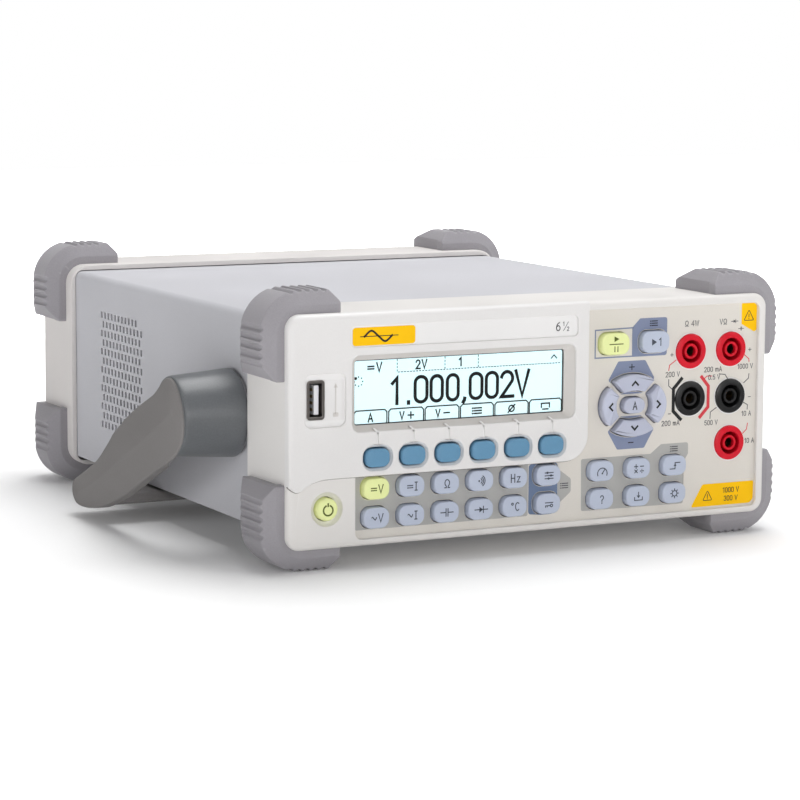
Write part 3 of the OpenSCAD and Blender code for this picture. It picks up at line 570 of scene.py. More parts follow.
# small pictograms in millimetres about their own middle: (strokes, filled outlines)
MARKS = {
    "cap": ([[(-2.8, 0), (-0.45, 0)], [(0.45, 0), (2.8, 0)], [(-0.45, -1.5), (-0.45, 1.5)],
             [(0.45, -1.5), (0.45, 1.5)]], []),
    "diode": ([[(-2.9, 0), (2.9, 0)], [(0.95, -1.3), (0.95, 1.3)]], [[(-0.9, -1.2), (0.85, 0), (-0.9, 1.2)]]),
    "sound": ([circ(-0.9, 0, r, r, -52, 52, 10) for r in (1.1, 1.8, 2.5)], [disc(-1.1, 0, 0.42, 16)]),
    "lock": ([[(-1.6, 0.5), (1.9, 0.5)], ("o", circ(1.3, -0.75, 0.55, 0.55, 0, 345, 14)),
              [(0.7, -0.75), (-1.5, -0.75), (-1.5, -1.3)], [(-0.7, -0.75), (-0.7, -1.2)]], []),
    "preset": (rows(-1.9, 1.9, (1.2, 0, -1.2)),
               [disc(x, z, 0.5, 14) for x, z in ((-0.8, 1.2), (0.9, 0), (-0.2, -1.2))]),
    "gauge": ([circ(0, -0.9, 2.3, 2.3, 200, -20, 18), [(0, -0.9), (1.2, 0.9)]], [disc(0, -0.9, 0.4, 14)]),
    "math": ([[(-2.2, 0.9), (-0.6, 0.9)], [(-1.4, 0.1), (-1.4, 1.7)], [(0.7, 0.9), (2.2, 0.9)],
              [(-2.0, -1.7), (-0.8, -0.5)], [(-2.0, -0.5), (-0.8, -1.7)], [(0.7, -1.1), (2.2, -1.1)]],
             [disc(1.45, -0.4, 0.24, 10), disc(1.45, -1.8, 0.24, 10)]),
    "trigger": ([[(-2.4, -1.3), (0, -1.3), (0, 1.3), (2.4, 1.3)]],
                [[(-0.75, -0.1), (0.75, -0.1), (0, 0.95)]]),
    "save": ([[(-1.9, -0.4), (-1.9, -1.6), (1.9, -1.6), (1.9, -0.4)], [(0, 1.7), (0, 0.2)]],
             [[(-0.9, 0.4), (0, -0.8), (0.9, 0.4)]]),
    "gear": ([("o", circ(0, 0, 1.15, 1.15, 0, 345, 18))]
             + [[(r * math.cos(i * math.pi / 4), r * math.sin(i * math.pi / 4)) for r in (1.3, 1.9)]
                for i in range(8)], []),
    "play": ([[(-2.6, 0), (2.6, 0)], [(-0.6, -2.5), (-0.6, -0.9)], [(0.6, -2.5), (0.6, -0.9)]],
             [[(-0.8, 0.8), (1.1, 1.75), (-0.8, 2.7)]]),
    "single": ([[(2.1, -1.5), (2.1, 1.5), (1.4, 0.9)]], [[(-2.2, -1.4), (0.2, 0), (-2.2, 1.4)]]),
    "power": ([circ(0, 0, 1.95, 1.95, 118, 422, 24), [(0, 0.4), (0, 2.5)]], []),
    "up": ([[(-1.35, -0.65), (0, 0.75), (1.35, -0.65)]], []),
    "plus": ([[(-1.2, 0), (1.2, 0)], [(0, -1.2), (0, 1.2)]], []),
    "minus": ([[(-1.2, 0), (1.2, 0)]], []),
    "list": (rows(-1.2, 2.0, (1.1, 0, -1.1)) + rows(-2.1, -1.9, (1.1, 0, -1.1)), []),
    "null": ([("o", circ(0, 0, 1.25, 1.25, 0, 345, 20)), [(-1.5, -1.5), (1.5, 1.5)]], []),
    "hide": ([[(-1.9, -0.4), (-1.9, 1.2), (1.9, 1.2), (1.9, -0.4)], [(-1.2, -1.2), (1.2, -1.2)]], []),
}


def draw_mark(b, kind, cx, cz, w, y, mat, scale=1.0, turn=0, proud=0.03, sink=0.05):
    """A pictogram drawn about (cx, cz), turned by turn degrees."""
    strokes, fills = MARKS[kind]
    c, q = math.cos(math.radians(turn)), math.sin(math.radians(turn))

    def put(pts):
        return [(cx + scale * (x * c - z * q), cz + scale * (x * q + z * c)) for x, z in pts]
    for stroke in strokes:
        closed, pts = open_or_closed(stroke)
        b.ribbon(put(pts), w, y - proud, y + sink, mat, closed)
    for f in fills:
        b.slab(put(f), [], y - proud, y + sink, edge=0, mat=mat)


# ---------------------------------------------------------------- camera, light and floor

scene = bpy.context.scene


def camera():
    az, el, roll = math.radians(-26.98), math.radians(7.75), math.radians(0.31)
    back = Vector((math.sin(az) * math.cos(el), -math.cos(az) * math.cos(el), math.sin(el)))
    fwd = -back
    right = fwd.cross(Vector((0, 0, 1))).normalized()
    up = right.cross(fwd)
    r2 = right * math.cos(roll) + up * math.sin(roll)
    u2 = -right * math.sin(roll) + up * math.cos(roll)
    cam = bpy.data.objects.new("camera", bpy.data.cameras.new("camera"))
    scene.collection.objects.link(cam)
    m = Matrix((r2, u2, back)).transposed().to_4x4()
    m.translation = at(-545.0, -952.8, 209.6)
    cam.matrix_world = m
    cam.data.lens = 128.05
    cam.data.sensor_width = 36
    cam.data.clip_start = 0.05
    cam.data.clip_end = 50
    scene.camera = cam


def area_light(name, loc, target, size, power, size_y=None):
    d = bpy.data.lights.new(name, "AREA")
    d.energy = power
    d.shape = "RECTANGLE"
    d.size = size
    d.size_y = size_y or size
    o = bpy.data.objects.new(name, d)
    o.location = loc
    o.rotation_euler = (Vector(target) - Vector(loc)).to_track_quat("-Z", "Y").to_euler()
    scene.collection.objects.link(o)


def floor_paper():
    """Matte white paper; the lamps' fall-off away from the object is evened out by a faint glow."""
    m = material("floor_paper", (0.93, 0.93, 0.93), 0.9, grain=300, bump=0.03, blotch=0.004, spec=0.0,
                 emit=0.1)
    nt = m.node_tree
    away = add_node(nt, "VectorMath", add_node(nt, "TexCoord").outputs["Object"])
    away.operation = "LENGTH"
    glow = spread(nt, away.outputs["Value"], 0.04, 1.0, 0.2, 1.0)
    nt.links.new(glow, nt.nodes["Principled BSDF"].inputs["Emission Strength"])
    return m


def staged(name, rows, paper):
    """A strip of backdrop through the given rows of points."""
    bm = bmesh.new()
    lines = [[bm.verts.new(p) for p in row] for row in rows]
    for r0, r1 in zip(lines, lines[1:]):
        bm.faces.new((r0[0], r0[1], r1[1], r1[0])).smooth = True
    me = bpy.data.meshes.new(name)
    bm.to_mesh(me)
    bm.free()
    me.materials.append(paper)
    ob = bpy.data.objects.new(name, me)
    scene.collection.objects.link(ob)
    ob.visible_glossy = False
    return ob


def backdrop():
    """Pale floor, and a bright sheet behind the object that only lights it and hides nothing."""
    staged("floor", [[(-2.5, -2.5, 0), (2.5, -2.5, 0)], [(-2.5, 2.5, 0), (2.5, 2.5, 0)]], floor_paper())
    prof = [(0.55 + 0.5 * math.sin(math.radians(a)), 0.5 - 0.5 * math.cos(math.radians(a)))
            for a in range(10, 91, 10)]
    rows = [[(-0.2, y, z), (2.5, y, z)] for y, z in prof + [(1.05, 2.2)]]
    paper = material("wall_paper", (0.92, 0.92, 0.92), 0.9, grain=300, bump=0.03, blotch=0.004, spec=0.0,
                     emit=0.9)
    staged("back_sheet", rows, paper).visible_camera = False


def studio():
    scene.view_settings.view_transform = "Standard"
    w = bpy.data.worlds.new("studio")
    scene.world = w
    w.use_nodes = True
    bg = w.node_tree.nodes["Background"]
    bg.inputs[0].default_value = (1.0, 1.0, 1.0, 1)
    # the camera sees a white surround, and the object is lit by a faint one
    ray = add_node(w.node_tree, "LightPath")
    level = spread(w.node_tree, ray.outputs["Is Camera Ray"], 0.2, 1.0, 0, 1)
    w.node_tree.links.new(level, bg.inputs[1])
    area_light("top_light", (0.3, 0.15, 1.5), (0, 0, 0), 1.1, 19)
    area_light("key_light", (1.2, -1.1, 0.9), (0, 0, 0.05), 0.8, 4)
    area_light("front_light", (-0.2, -1.8, 0.4), (0, 0, 0.05), 1.0, 7, size_y=0.6)
    area_light("left_light", (-1.9, -0.4, 0.42), (0, 0, 0.05), 1.2, 7, size_y=0.6)
    backdrop()


camera()
studio()

# ---------------------------------------------------------------- outlines shared by the front's pieces

GAP = 0.35
KEYS = [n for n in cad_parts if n.startswith(("softkey_", "key_", "nav_"))]
SOFT = sorted(n for n in KEYS if n.startswith("softkey_"))
PANEL_KEYS = [n for n in KEYS if n.startswith("key_")]
NAV = node_mid("nav_auto")
# the power key sits a little to the right of its CAD node's middle
POWER = (node_mid("power_key")[0] + 0.3, node_mid("power_key")[1])
FLANGE = 1.8
BODY_R = 8.2
RIM_R = 5.6
MID_Z = (FACE_Z0 + FACE_Z1) / 2
PANEL_Y = 1.5
FASCIA_Y = node_span("display_fascia")[0][1]
INSET = rr((-78.5 + 102.6) / 2, (11.6 + 94.6) / 2, 181.1, 83.0, 2.6)
FACE_OPENING = fillet([(-78.5, 11.6), (102.6, 11.6), (102.6, 94.6), (-78.5, 94.6), (-78.5, 82.3),
                       (-80.8, 82.3), (-80.8, 52.7), (-78.5, 52.7)], [2.6, 2.6, 2.6, 2.6, 0, 0, 0, 0])
WIN = node_span("display_window")
LCD_X, LCD_Z = -32.9, (WIN[0][2] + WIN[1][2]) / 2
JACKS = {"red": [(71, 76.2), (90.05, 76.2), (90.05, 38.1)], "black": [(71, 57.15), (90.05, 57.15)]}
ALL_JACKS = JACKS["red"] + JACKS["black"]
USB_X, USB_Z = -95.5, 66


def key_outline(name, g=0.0):
    """A rectangular key's outline, grown by g."""
    lo, hi = node_span(name)
    w, h = hi[0] - lo[0] - FLANGE, hi[2] - lo[2] - FLANGE
    cx, cz = node_mid(name)
    r = 3.3 if not name.startswith("softkey_") else 2.9
    return rr(cx, cz, w + 2 * g, h + 2 * g, r + g, 6)


def nav_side(g=0.0, sign=1):
    """Crescent key beside the navigation pad's middle."""
    pts = arc(5.5, 0, 9.45, -54, 54, 14)
    pts += smooth_line([(6.95, 4.1), (7.95, 2.2), (8.25, 0), (7.95, -2.2), (6.95, -4.1)], 3)
    pts = grown(fillet(ccw(pts), 0.35, 2), g)
    return ccw([(NAV[0] + sign * x, NAV[1] + z) for x, z in pts])


def nav_up(g=0.0, sign=1):
    """Crescent key above the navigation pad's middle."""
    a = math.degrees(math.acos(9.25 / 17.8))
    pts = arc(0, -5.4, 17.8, a, 180 - a, 14)
    pts += smooth_line([(-4.8, 5.3), (-2.4, 5.75), (0, 5.9), (2.4, 5.75), (4.8, 5.3)], 3)
    pts = grown(fillet(ccw(pts), 0.35, 2), g)
    return ccw([(NAV[0] + x, NAV[1] + sign * z) for x, z in pts])


def nav_auto(g=0.0):
    return rr(NAV[0], NAV[1], 9.7 + 2 * g, 6.2 + 2 * g, 3.05 + g, 8)


def nav_loops(g):
    return [nav_up(g), nav_up(g, -1), nav_side(g), nav_side(g, -1), nav_auto(g)]


def panel_holes(g):
    return [key_outline(n, g) for n in PANEL_KEYS] + nav_loops(g)


def fascia_edge():
    """Lower edge of the display fascia, from its left end to its right side."""
    low = [(-106.75, 33.6), (-105.2, 32.3), (-103.4, 31.5), (-101.6, 31.9), (-99.6, 33.2), (-97.6, 34.3),
           (-95.6, 35.0), (-92.5, 35.6), (-88.5, 35.8)]
    return smooth_line(low, 4) + [(-60, 35.8), (-20, 35.8)] + arc(12.5, 45.8, 10, -90, 0, 12)


def fascia_outline():
    out = HALF_W + 0.02
    pts = fascia_edge() + [(22.5, 98.22)]
    pts += arc(-(out - RIM_R), 98.22 - RIM_R, RIM_R, 90, 180, 10)
    return ccw(pts)


# ---------------------------------------------------------------- front bezel: rim, skirt and sunk panel

def bezel():
    b = Build("bezel_shell", CASE, [M["bezel"], M["panel"]], "bezel_plastic", ["front_bezel"])
    outer = rr(0, MID_Z, 2 * HALF_W, FACE_Z1 - FACE_Z0, RIM_R, 12)
    # the whole left face is flush with the rim, so the sunk panel is a hole in the face
    holes = [(FACE_OPENING, 0.45), (disc(*POWER, 6.4), 0.5), (rr(USB_X, USB_Z, 6.4, 13.8, 0.5, 3), 0.1)]
    b.slab(outer, holes, 0, 3.05, edge=2.4, segs=7)
    # skirt, open at the back
    inner = grown(outer, -2.2)
    skirt = ((outer, 3.05), (outer, SKIRT - 0.8), (grown(outer, -0.25), SKIRT - 0.2),
             (grown(outer, -0.8), SKIRT),
             (inner, SKIRT), (inner, 3.9))
    b.loft([[(x, y, z) for x, z in loop] for loop, y in skirt])
    # sunk panel with its key holes
    holes = [(h, 0.25) for h in panel_holes(GAP)]
    holes += [(key_outline(n, GAP), 0.1) for n in SOFT]
    holes += [(disc(x, z, 6.1), 0.1) for x, z in ALL_JACKS]
    holes += [(rr(LCD_X, LCD_Z, 91.6, 25.4, 1.2, 4), 0.1)]
    b.slab(grown(INSET, 0.4), holes, PANEL_Y, 4, edge=0, mat=1)
    # dish round the power key
    b.turned(*POWER, [(6.42, 0.3), (6.1, 0.9), (5.6, 1.5), (5.1, 1.7), (4.75, 1.9), (4.7, 4.0)])
    b.done()


def loops_inside(loops, x0, x1, z0, z1):
    """The loops whose middle lies in a rectangle."""
    keep = []
    for lp in loops:
        cx = sum(p[0] for p in lp) / len(lp)
        cz = sum(p[1] for p in lp) / len(lp)
        if x0 < cx < x1 and z0 < cz < z1:
            keep.append(lp)
    return keep


# what the prints' material numbers stand for; the last is the fascia colour used for the painted highlight
# rings round the jacks
GREY, BLUE, NAVY, YELLOW, BLACK, RED, DIM, JACK_HIGHLIGHT = range(8)
PRINT_AND_HIGHLIGHT_INKS = ["grey_ink", "blue_ink", "navy_ink", "yellow_ink", "black_ink", "red_ink", "dim_ink", "fascia"]
# printed fields: material, corners, corner radii, and the rectangle whose keys are cut out of it
FIELDS = [
    (GREY, [(-78.1, 14.9), (-3.0, 14.9), (-3.0, 35.9), (-78.1, 35.9)], 0.8, (-78, -3.2, 14, 36)),
    (GREY, [(10.4, 15.6), (10.6, 18.6), (16.4, 23.2), (16.4, 28.4), (10.6, 32.6), (10.4, 35.2)],
     [0, 1, 1.5, 1.5, 1, 0], None),
    (NAVY, [(-2.7, 15.4), (10.3, 15.4), (10.3, 35.2), (-2.7, 35.2)], 1.2, (-2.7, 10.3, 14, 36)),
    (GREY, [(21.2, 15.0), (68.7, 14.7), (68.5, 31.4), (70.7, 34.8), (70.7, 39.4), (57.9, 39.4), (53.0, 35.8),
            (20.9, 35.8)], [0.8, 0.8, 1, 1, 1, 1.2, 1.2, 0.8], (21, 70, 14.5, 40)),
    (BLUE, [(43.6, 75.2), (59.8, 75.2), (59.8, 90.4), (47.2, 90.4), (43.6, 86.9)], [0.4, 1, 1, 1, 1],
     (43.6, 60, 75, 88)),
    (YELLOW, [(95.1, 86.0), (101.2, 82.7), (102.4, 83.4), (102.4, 94.4), (95.1, 94.4)],
     [0.6, 0.8, 0.5, 1.6, 0.4], None),
    (YELLOW, [(72.5, 12.6), (100.6, 12.6), (102.4, 14.2), (102.4, 21.7), (77.9, 21.7)],
     [0.5, 2, 2, 0.6, 1.6], None),
]
# legends: marks, middle, foot, height
LEGENDS = [
    (["ohm", " ", "4", "W"], 71.5, 86.3, 2.1), (["V", "ohm"], 86.4, 86.3, 2.1),
    ("+", 62.3, 73.9, 2.4), ("+", 99.4, 74.3, 2.4), ("-", 61.6, 50.2, 2.4), ("-", 99.6, 55.0, 2.4),
    ("200 V", 62.8, 66.3, 1.9), ("200 mA", 81.9, 67.4, 1.9), ("0.5 V", 82.5, 64.2, 1.8),
    ("1000 V", 97.3, 67.9, 1.8), ("500 V", 81.4, 45.8, 1.8), ("200 mA", 62.2, 46.7, 1.9),
    ("10 A", 98.3, 48.6, 1.8), ("10 A", 100.0, 37.4, 1.8),
]
# lines that join the jacks to their legends: material, width, points
LEADERS = [
    (RED, 0.36, [(64.3, 72.9), (61.3, 71.0), (60.9, 68.9)]),
    (RED, 0.36, [(96.9, 73.4), (99.0, 71.7), (99.1, 70.6)]),
    (DIM, 0.34, [(61.0, 65.2), (61.0, 62.7), (62.5, 61.4)]),
    (DIM, 0.34, [(99.2, 65.6), (99.0, 63.8), (96.8, 62.1)]),
    (DIM, 0.34, [(96.9, 54.0), (98.8, 53.0), (98.7, 51.2)]),
    (DIM, 0.34, [(83.8, 52.7), (81.0, 51.0), (80.9, 48.4)]),
    (DIM, 0.34, [(84.9, 66.3), (87.7, 65.9), (88.9, 64.2)]),
    (RED, 0.34, [(77.3, 64.3), (79.0, 65.7), (81.3, 65.6)]),
    (RED, 0.36, [(96.8, 41.4), (98.6, 43.0), (99.0, 45.4)]),
]


def print_areas():
    """The flat printed fields on the sunk panel, with holes for the keys, the marks on them, and painted
    highlight rings round the jacks.
    """
    y, y0, y1, g = PANEL_Y, PANEL_Y - 0.04, PANEL_Y + 0.1, GAP + 0.3
    holes = panel_holes(g)
    b = Build("panel_prints_and_highlights", CASE, [M[k] for k in PRINT_AND_HIGHLIGHT_INKS], "bezel_plastic")
    for mat, corners, radii, keys in FIELDS:
        b.slab(fillet(corners, radii), loops_inside(holes, *keys) if keys else [], y0, y1, edge=0, mat=mat)
    b.ribbon([(43.6, 75.5), (26.7, 75.5), (26.7, 86.5), (43.9, 86.8)], 0.55, y0, y1, mat=BLUE)
    # range fields over and under the navigation pad
    up = [(37.4, 73.7), (49.9, 73.7), (54.3, 66.3), (48.3, 60.5), (38.9, 60.5), (32.9, 66.3)]
    for s in (1, -1):
        pts = [(x, NAV[1] + s * (z - NAV[1])) for x, z in up]
        b.slab(fillet(ccw(pts), 0.9), [nav_up(g, s)], y0, y1, edge=0, mat=BLUE)
    # generic caution triangles and figures on the yellow fields
    for cx, cz, s in ((98.6, 89.4, 2.35), (80.4, 16.9, 2.2)):
        tri = [(cx - s, cz - 0.85 * s), (cx + s, cz - 0.85 * s), (cx, cz + 0.95 * s)]
        b.ribbon(fillet(tri, 0.3, 3), 0.3, y0 - 0.03, y0 + 0.03, BLACK, True)
        b.ribbon([(cx, cz + 0.25 * s), (cx, cz - 0.3 * s)], 0.32, y0 - 0.03, y0 + 0.03, BLACK)
        b.slab(disc(cx, cz - 0.58 * s, 0.2, 10), [], y0 - 0.03, y0 + 0.03, edge=0, mat=BLACK)
    draw(b, glyph_run("1000 V", 1.9), 91.6, 17.7, 0.3, y0, BLACK)
    draw(b, glyph_run("300 V", 1.9), 91.6, 14.3, 0.3, y0, BLACK)
    for cx, cz, kind, mat in ((53.6, 88.2, "list", BLACK), (43.7, 71.2, "plus", BLACK),
                              (43.7, 41.0, "minus", BLACK),
                              (64.0, 37.2, "list", DIM), (13.4, 25.8, "list", DIM)):
        draw_mark(b, kind, cx, cz, 0.4, y0, mat, 0.8 if kind == "list" else 0.9)
    # jack legends
    for text, cx, cz, h in LEGENDS:
        draw(b, glyph_run(text, h), cx, cz, 0.28, y, DIM, proud=0.04)
    draw_mark(b, "diode", 91.8, 87.3, 0.26, y, DIM, 0.55)
    draw_mark(b, "cap", 95.0, 84.2, 0.24, y, DIM, 0.45)
    # pale ring round each jack: a painted highlight on the edge of its hole
    for jx, jz in ALL_JACKS:
        b.slab(disc(jx, jz, 7.5, 56), [disc(jx, jz, 7.02, 56)], y - 0.03, y + 0.1, edge=0, mat=JACK_HIGHLIGHT)
    for mat, width, pts in LEADERS:
        b.ribbon(pts, width, y - 0.04, y + 0.1, mat)
    # bold brackets on both sides of the sense jack
    for mat, pts in ((BLACK, [(67.0, 65.2), (63.3, 61.4), (63.3, 52.4), (66.8, 49.0)]),
                     (RED, [(76.6, 65.4), (79.8, 61.6), (79.8, 53.2), (76.1, 49.4)])):
        b.ribbon(pts, 1.4, y - 0.05, y + 0.1, mat)
    b.done()


# ---------------------------------------------------------------- display fascia

def soft_line(i):
    """Fine line from a display tab down to its softkey."""
    cx, cz = node_mid("softkey_%d" % (i + 1))
    return [(cx - 1.5, 54.0), (cx - 0.5, 53.2), (cx, 51.9), (cx, 47.7)]


def fascia():
    b = Build("display_surround", CASE, [M["fascia"], M["fascia_slope"], M["seam_shadow"]], "fascia_plastic",
              ["display_fascia"])
    out = fascia_outline()
    # the corners on the case's own edge are rounded more than the step down to the keys
    edges = []
    for x, z in out:
        side = min(1, max(0, (z - 36) / 6)) if x < -90 else 0
        top = min(1, max(0, (16 - x) / 5)) if z > 90 else 0
        edges.append(0.75 + 1.9 * max(side if x < -104 or z > 88 else 0, top))
    lcd_open = rr(LCD_X + 0.8, LCD_Z, 96.9, 29.0, 3.0, 8)
    strip = rr(-32.0, 89.2, 98.5, 8.1, 2.0)
    usb = rr(-91.8, 65.7, 17.0, 20.2, 2.8)
    softs = [(key_outline(n, 1.15), 0.6) for n in SOFT]
    lines = []
    for i in range(6):
        p = soft_line(i)
        lines.append((ccw([(x - 0.28, z) for x, z in p] + [(x + 0.28, z) for x, z in p][::-1]), 0.08))
    y = FASCIA_Y
    b.slab(out, [(lcd_open, 0.55), (strip, 0.3), (usb, 0.4)] + softs + lines, y, 2.7, edge=edges, segs=5)
    # floors of the shallow recesses
    b.slab(grown(strip, 0.3), [], y + 0.6, y + 1.2, edge=0)
    b.slab(grown(usb, 0.3), [(rr(USB_X, USB_Z, 7.4, 15.0, 1.3, 4), 0.15)], y + 1.0, y + 1.8, edge=0)
    for ln, _ in lines:
        b.slab(grown(ln, 0.1), [], y + 0.28, y + 0.6, edge=0)
    # sloped frame down to the display's glass
    front = rr(LCD_X + 0.8, LCD_Z, 97.1, 29.2, 3.0, 8)
    mid = rr(LCD_X + 0.1, LCD_Z, 91.9, 25.7, 1.4, 8)
    inner = rr(LCD_X, LCD_Z, 91.0, 24.8, 1.0, 8)
    slope = ((front, y + 0.6), (mid, 1.35), (inner, 1.6), (inner, 2.3), (front, 2.3), (front, y + 0.6))
    b.loft([[(x, d, z) for x, z in loop] for loop, d in slope], 1)
    # shallow funnel round each softkey
    for n in SOFT:
        steps = [(1.2, y + 0.55), (0.75, y + 0.95), (0.45, y + 1.5), (GAP, y + 2.1), (GAP, 3.0), (1.2, 3.0),
                 (1.2, y + 0.55)]
        b.loft([[(x, d, z) for x, z in key_outline(n, g)] for g, d in steps])
    # dark line below the fascia's lower edge: painted shadow of its step on the bezel
    seam_shadow = grown(fascia_edge() + [(22.5, 60.0)], 0.12)
    b.ribbon(seam_shadow, 0.34, -0.05, 0.3, 2)
    b.done()


def label_strip():
    b = Build("label_strip", CASE, [M["fascia"], M["yellow_ink"], M["black_ink"], M["dim_ink"]],
              "fascia_plastic")
    y = FASCIA_Y + 0.6
    b.slab(rr(-67.2, 89.1, 26.4, 6.9, 1.2, 5), [], y - 0.14, y + 0.2, edge=0.08, mat=1, segs=2)
    wave = smooth_line([(-75.5, 89.1), (-72.6, 91.2), (-69.7, 89.1), (-66.8, 87.0), (-63.9, 89.1)], 6)
    b.ribbon(wave, 0.75, y - 0.2, y - 0.1, 2)
    b.ribbon([(-77.2, 89.1), (-61.4, 89.1)], 0.3, y - 0.2, y - 0.1, 2)
    draw(b, glyph_run("6", 3.2), 8.5, 87.5, 0.42, y, 3)
    draw(b, glyph_run("1", 1.5), 10.9, 89.3, 0.26, y, 3)
    draw(b, glyph_run("2", 1.5), 12.9, 87.3, 0.26, y, 3)
    b.ribbon([(10.9, 87.4), (13.0, 90.7)], 0.24, y - 0.03, y + 0.05, 3)
    b.done()


# ---------------------------------------------------------------- display

TAB_X = [(-78.2, -64.3), (-63.5, -48.6), (-47.9, -33.3), (-32.6, -18.2), (-17.5, -2.8), (-2.2, 12.2)]
# the foot of the large figures, then each figure's middle and width
DIGIT_FOOT = 62.5
DIGITS = [("1", -60.75, 3.3), (".", -55.1, 1.2), ("0", -49.75, 6.3), ("0", -43.0, 6.0), ("0", -36.05, 5.9),
          (",", -31.0, 1.4), ("0", -25.9, 6.4), ("0", -18.95, 6.1), ("2", -12.25, 6.1), ("V", -5.5, 6.2)]


def display():
    b = Build("display_glass", CASE, [M["lcd"], M["lcd_rim"], M["board"]], "display", ["display_module"])
    y = 2.4
    b.slab(rr(LCD_X, LCD_Z, 90.2, 24.0, 0.7, 4), [], y, y + 0.7, edge=0)
    b.slab(rr(LCD_X, LCD_Z, 90.9, 24.7, 0.9, 4), [(rr(LCD_X, LCD_Z, 90.2, 24.0, 0.7, 4), 0.0)], y - 0.03,
           y + 0.8, edge=0, mat=1)
    b.slab(rr(LCD_X, LCD_Z, 101.0, 29.2, 1.0, 4), [], 4.2, 8.2, edge=0.3, mat=1)
    b.done()
    ink = Build("display_figures", CASE, [M["lcd_ink"], M["lcd"]], "display")
    y0, y1 = y - 0.05, y + 0.06
    for g, cx, w in DIGITS:
        gw, strokes = GLYPHS[g]
        h = 9.7 if g not in (".", ",") else 5.0
        for stroke in strokes:
            closed, line = open_or_closed(stroke)
            pts = [(cx + (px / gw - 0.5) * w, DIGIT_FOOT + pz * h) for px, pz in line]
            ink.ribbon(pts, 1.35 if g not in (".", ",") else 1.45, y0, y1, 0, closed)
    # status line and its dividers
    x = -59.5
    while x < 11.5:
        ink.ribbon([(x, 74.5), (x + 0.45, 74.5)], 0.35, y0, y1)
        x += 1.3
    for dx in (-60.0, -39.5, -25.0):
        z = 74.9
        while z < 79.3:
            ink.ribbon([(dx, z), (dx, z + 0.45)], 0.35, y0, y1)
            z += 1.3
    draw(ink, glyph_run(["dc", "V"], 3.4, 0.3), -69.5, 75.1, 0.62, y, 0)
    draw(ink, glyph_run(["2", "V"], 3.2, 0.22), -49.7, 75.4, 0.62, y, 0)
    draw(ink, glyph_run("1", 3.0), -32.8, 75.6, 0.62, y, 0)
    draw_mark(ink, "up", 8.6, 77.0, 0.45, y, 0, 0.9)
    for i in range(8):
        a = math.radians(45 * i)
        ink.slab(disc(-76.3 + 1.75 * math.cos(a), 71.7 + 1.75 * math.sin(a), 0.62 if i == 3 else 0.3, 10),
                 [], y0, y1, edge=0)
    # softkey tabs
    kinds = ["A", "plus", "minus", "list", "null", "hide"]
    for (x0, x1), k in zip(TAB_X, kinds):
        tab = [(x0, 55.4), (x0, 59.6), (x0 + 0.9, 60.5), (x1 - 0.9, 60.5), (x1, 59.6), (x1, 55.4)]
        ink.ribbon(tab, 0.5, y0, y1)
        cx = (x0 + x1) / 2
        if k == "A":
            draw(ink, glyph_run("A", 3.0), cx, 56.2, 0.6, y, 0)
        elif k in ("plus", "minus"):
            draw(ink, glyph_run("V", 2.8), cx - 1.8, 56.3, 0.58, y, 0)
            draw_mark(ink, k, cx + 2.0, 57.7, 0.58, y, 0, 0.95)
        else:
            draw_mark(ink, k, cx, 57.7, 0.58, y, 0, 0.95)
    ink.done()
    w = Build("window_pane", CASE, [M["window"]], "window", ["display_window"])
    w.slab(rr(LCD_X, LCD_Z, 90.9, 24.7, 0.95, 4), [], 1.7, 2.0, edge=0.05, segs=2)
    w.done()


# ---------------------------------------------------------------- keys

SIGNS = {"key_dc_volts": ["dc", "V"], "key_dc_current": ["dc", "I"], "key_resistance": ["ohm"],
         "key_frequency": ["H", "z"], "key_ac_volts": ["ac", "V"], "key_ac_current": ["ac", "I"],
         "key_sensor": ["deg", "C"], "key_help": ["?"], "nav_auto": ["A"], "key_continuity": "sound",
         "key_preset": "preset", "key_capacitance": "cap", "key_diode": "diode", "key_second": "lock",
         "key_measure": "gauge", "key_math": "math", "key_trigger": "trigger", "key_save": "save",
         "key_utility": "gear", "key_run": "play", "key_single": "single", "nav_up": "up", "nav_down": "up",
         "nav_left": "up", "nav_right": "up"}
TURNS = {"nav_down": 180, "nav_left": 90, "nav_right": -90}
LIT = ("key_dc_volts", "key_run")


def key_loop(name):
    if name == "nav_up":
        return nav_up()
    if name == "nav_down":
        return nav_up(0, -1)
    if name in ("nav_left", "nav_right"):
        return nav_side(0, 1 if name == "nav_right" else -1)
    if name == "nav_auto":
        return nav_auto()
    return key_outline(name)


def key_cap(name):
    if name in LIT:
        mats, slot = [M["lit_key"], M["olive_ink"]], "lit_key"
    elif name in SOFT:
        mats, slot = [M["soft_key"], M["navy_ink"]], "soft_key"
    elif name.startswith("nav_"):
        mats, slot = [M["nav_key"], M["black_ink"]], "nav_key"
    else:
        mats, slot = [M["pale_key"], M["key_ink"]], "pale_key"
    b = Build(name + "_cap", name, mats, slot, [name])
    tip = node_span(name)[0][1]
    crescent = name.startswith("nav_") and name != "nav_auto"
    crown = 0.28 if name in SOFT else 0.0 if crescent else 0.12
    b.pillow(key_loop(name), tip + crown + 0.06, 4.3, edge=0.62 if name not in SOFT else 1.0, crown=crown)
    sign = SIGNS.get(name)
    cx, cz = node_mid(name)
    if crescent:
        loop = key_loop(name)
        cx = (min(p[0] for p in loop) + max(p[0] for p in loop)) / 2
        cz = (min(p[1] for p in loop) + max(p[1] for p in loop)) / 2
        if name in ("nav_left", "nav_right"):
            cz = NAV[1]
    y = tip + 0.07
    if isinstance(sign, list):
        h = 3.1 if name != "nav_auto" else 2.9
        draw(b, glyph_run(sign, h, 0.22), cx, cz - h / 2, 0.42, y, 1, proud=0.02, sink=0.2)
    elif sign:
        draw_mark(b, sign, cx, cz, 0.75 if crescent else 0.4, y, 1, 0.95 if name != "key_run" else 1.15,
                  TURNS.get(name, 0), proud=0.02, sink=0.2)
    b.done()


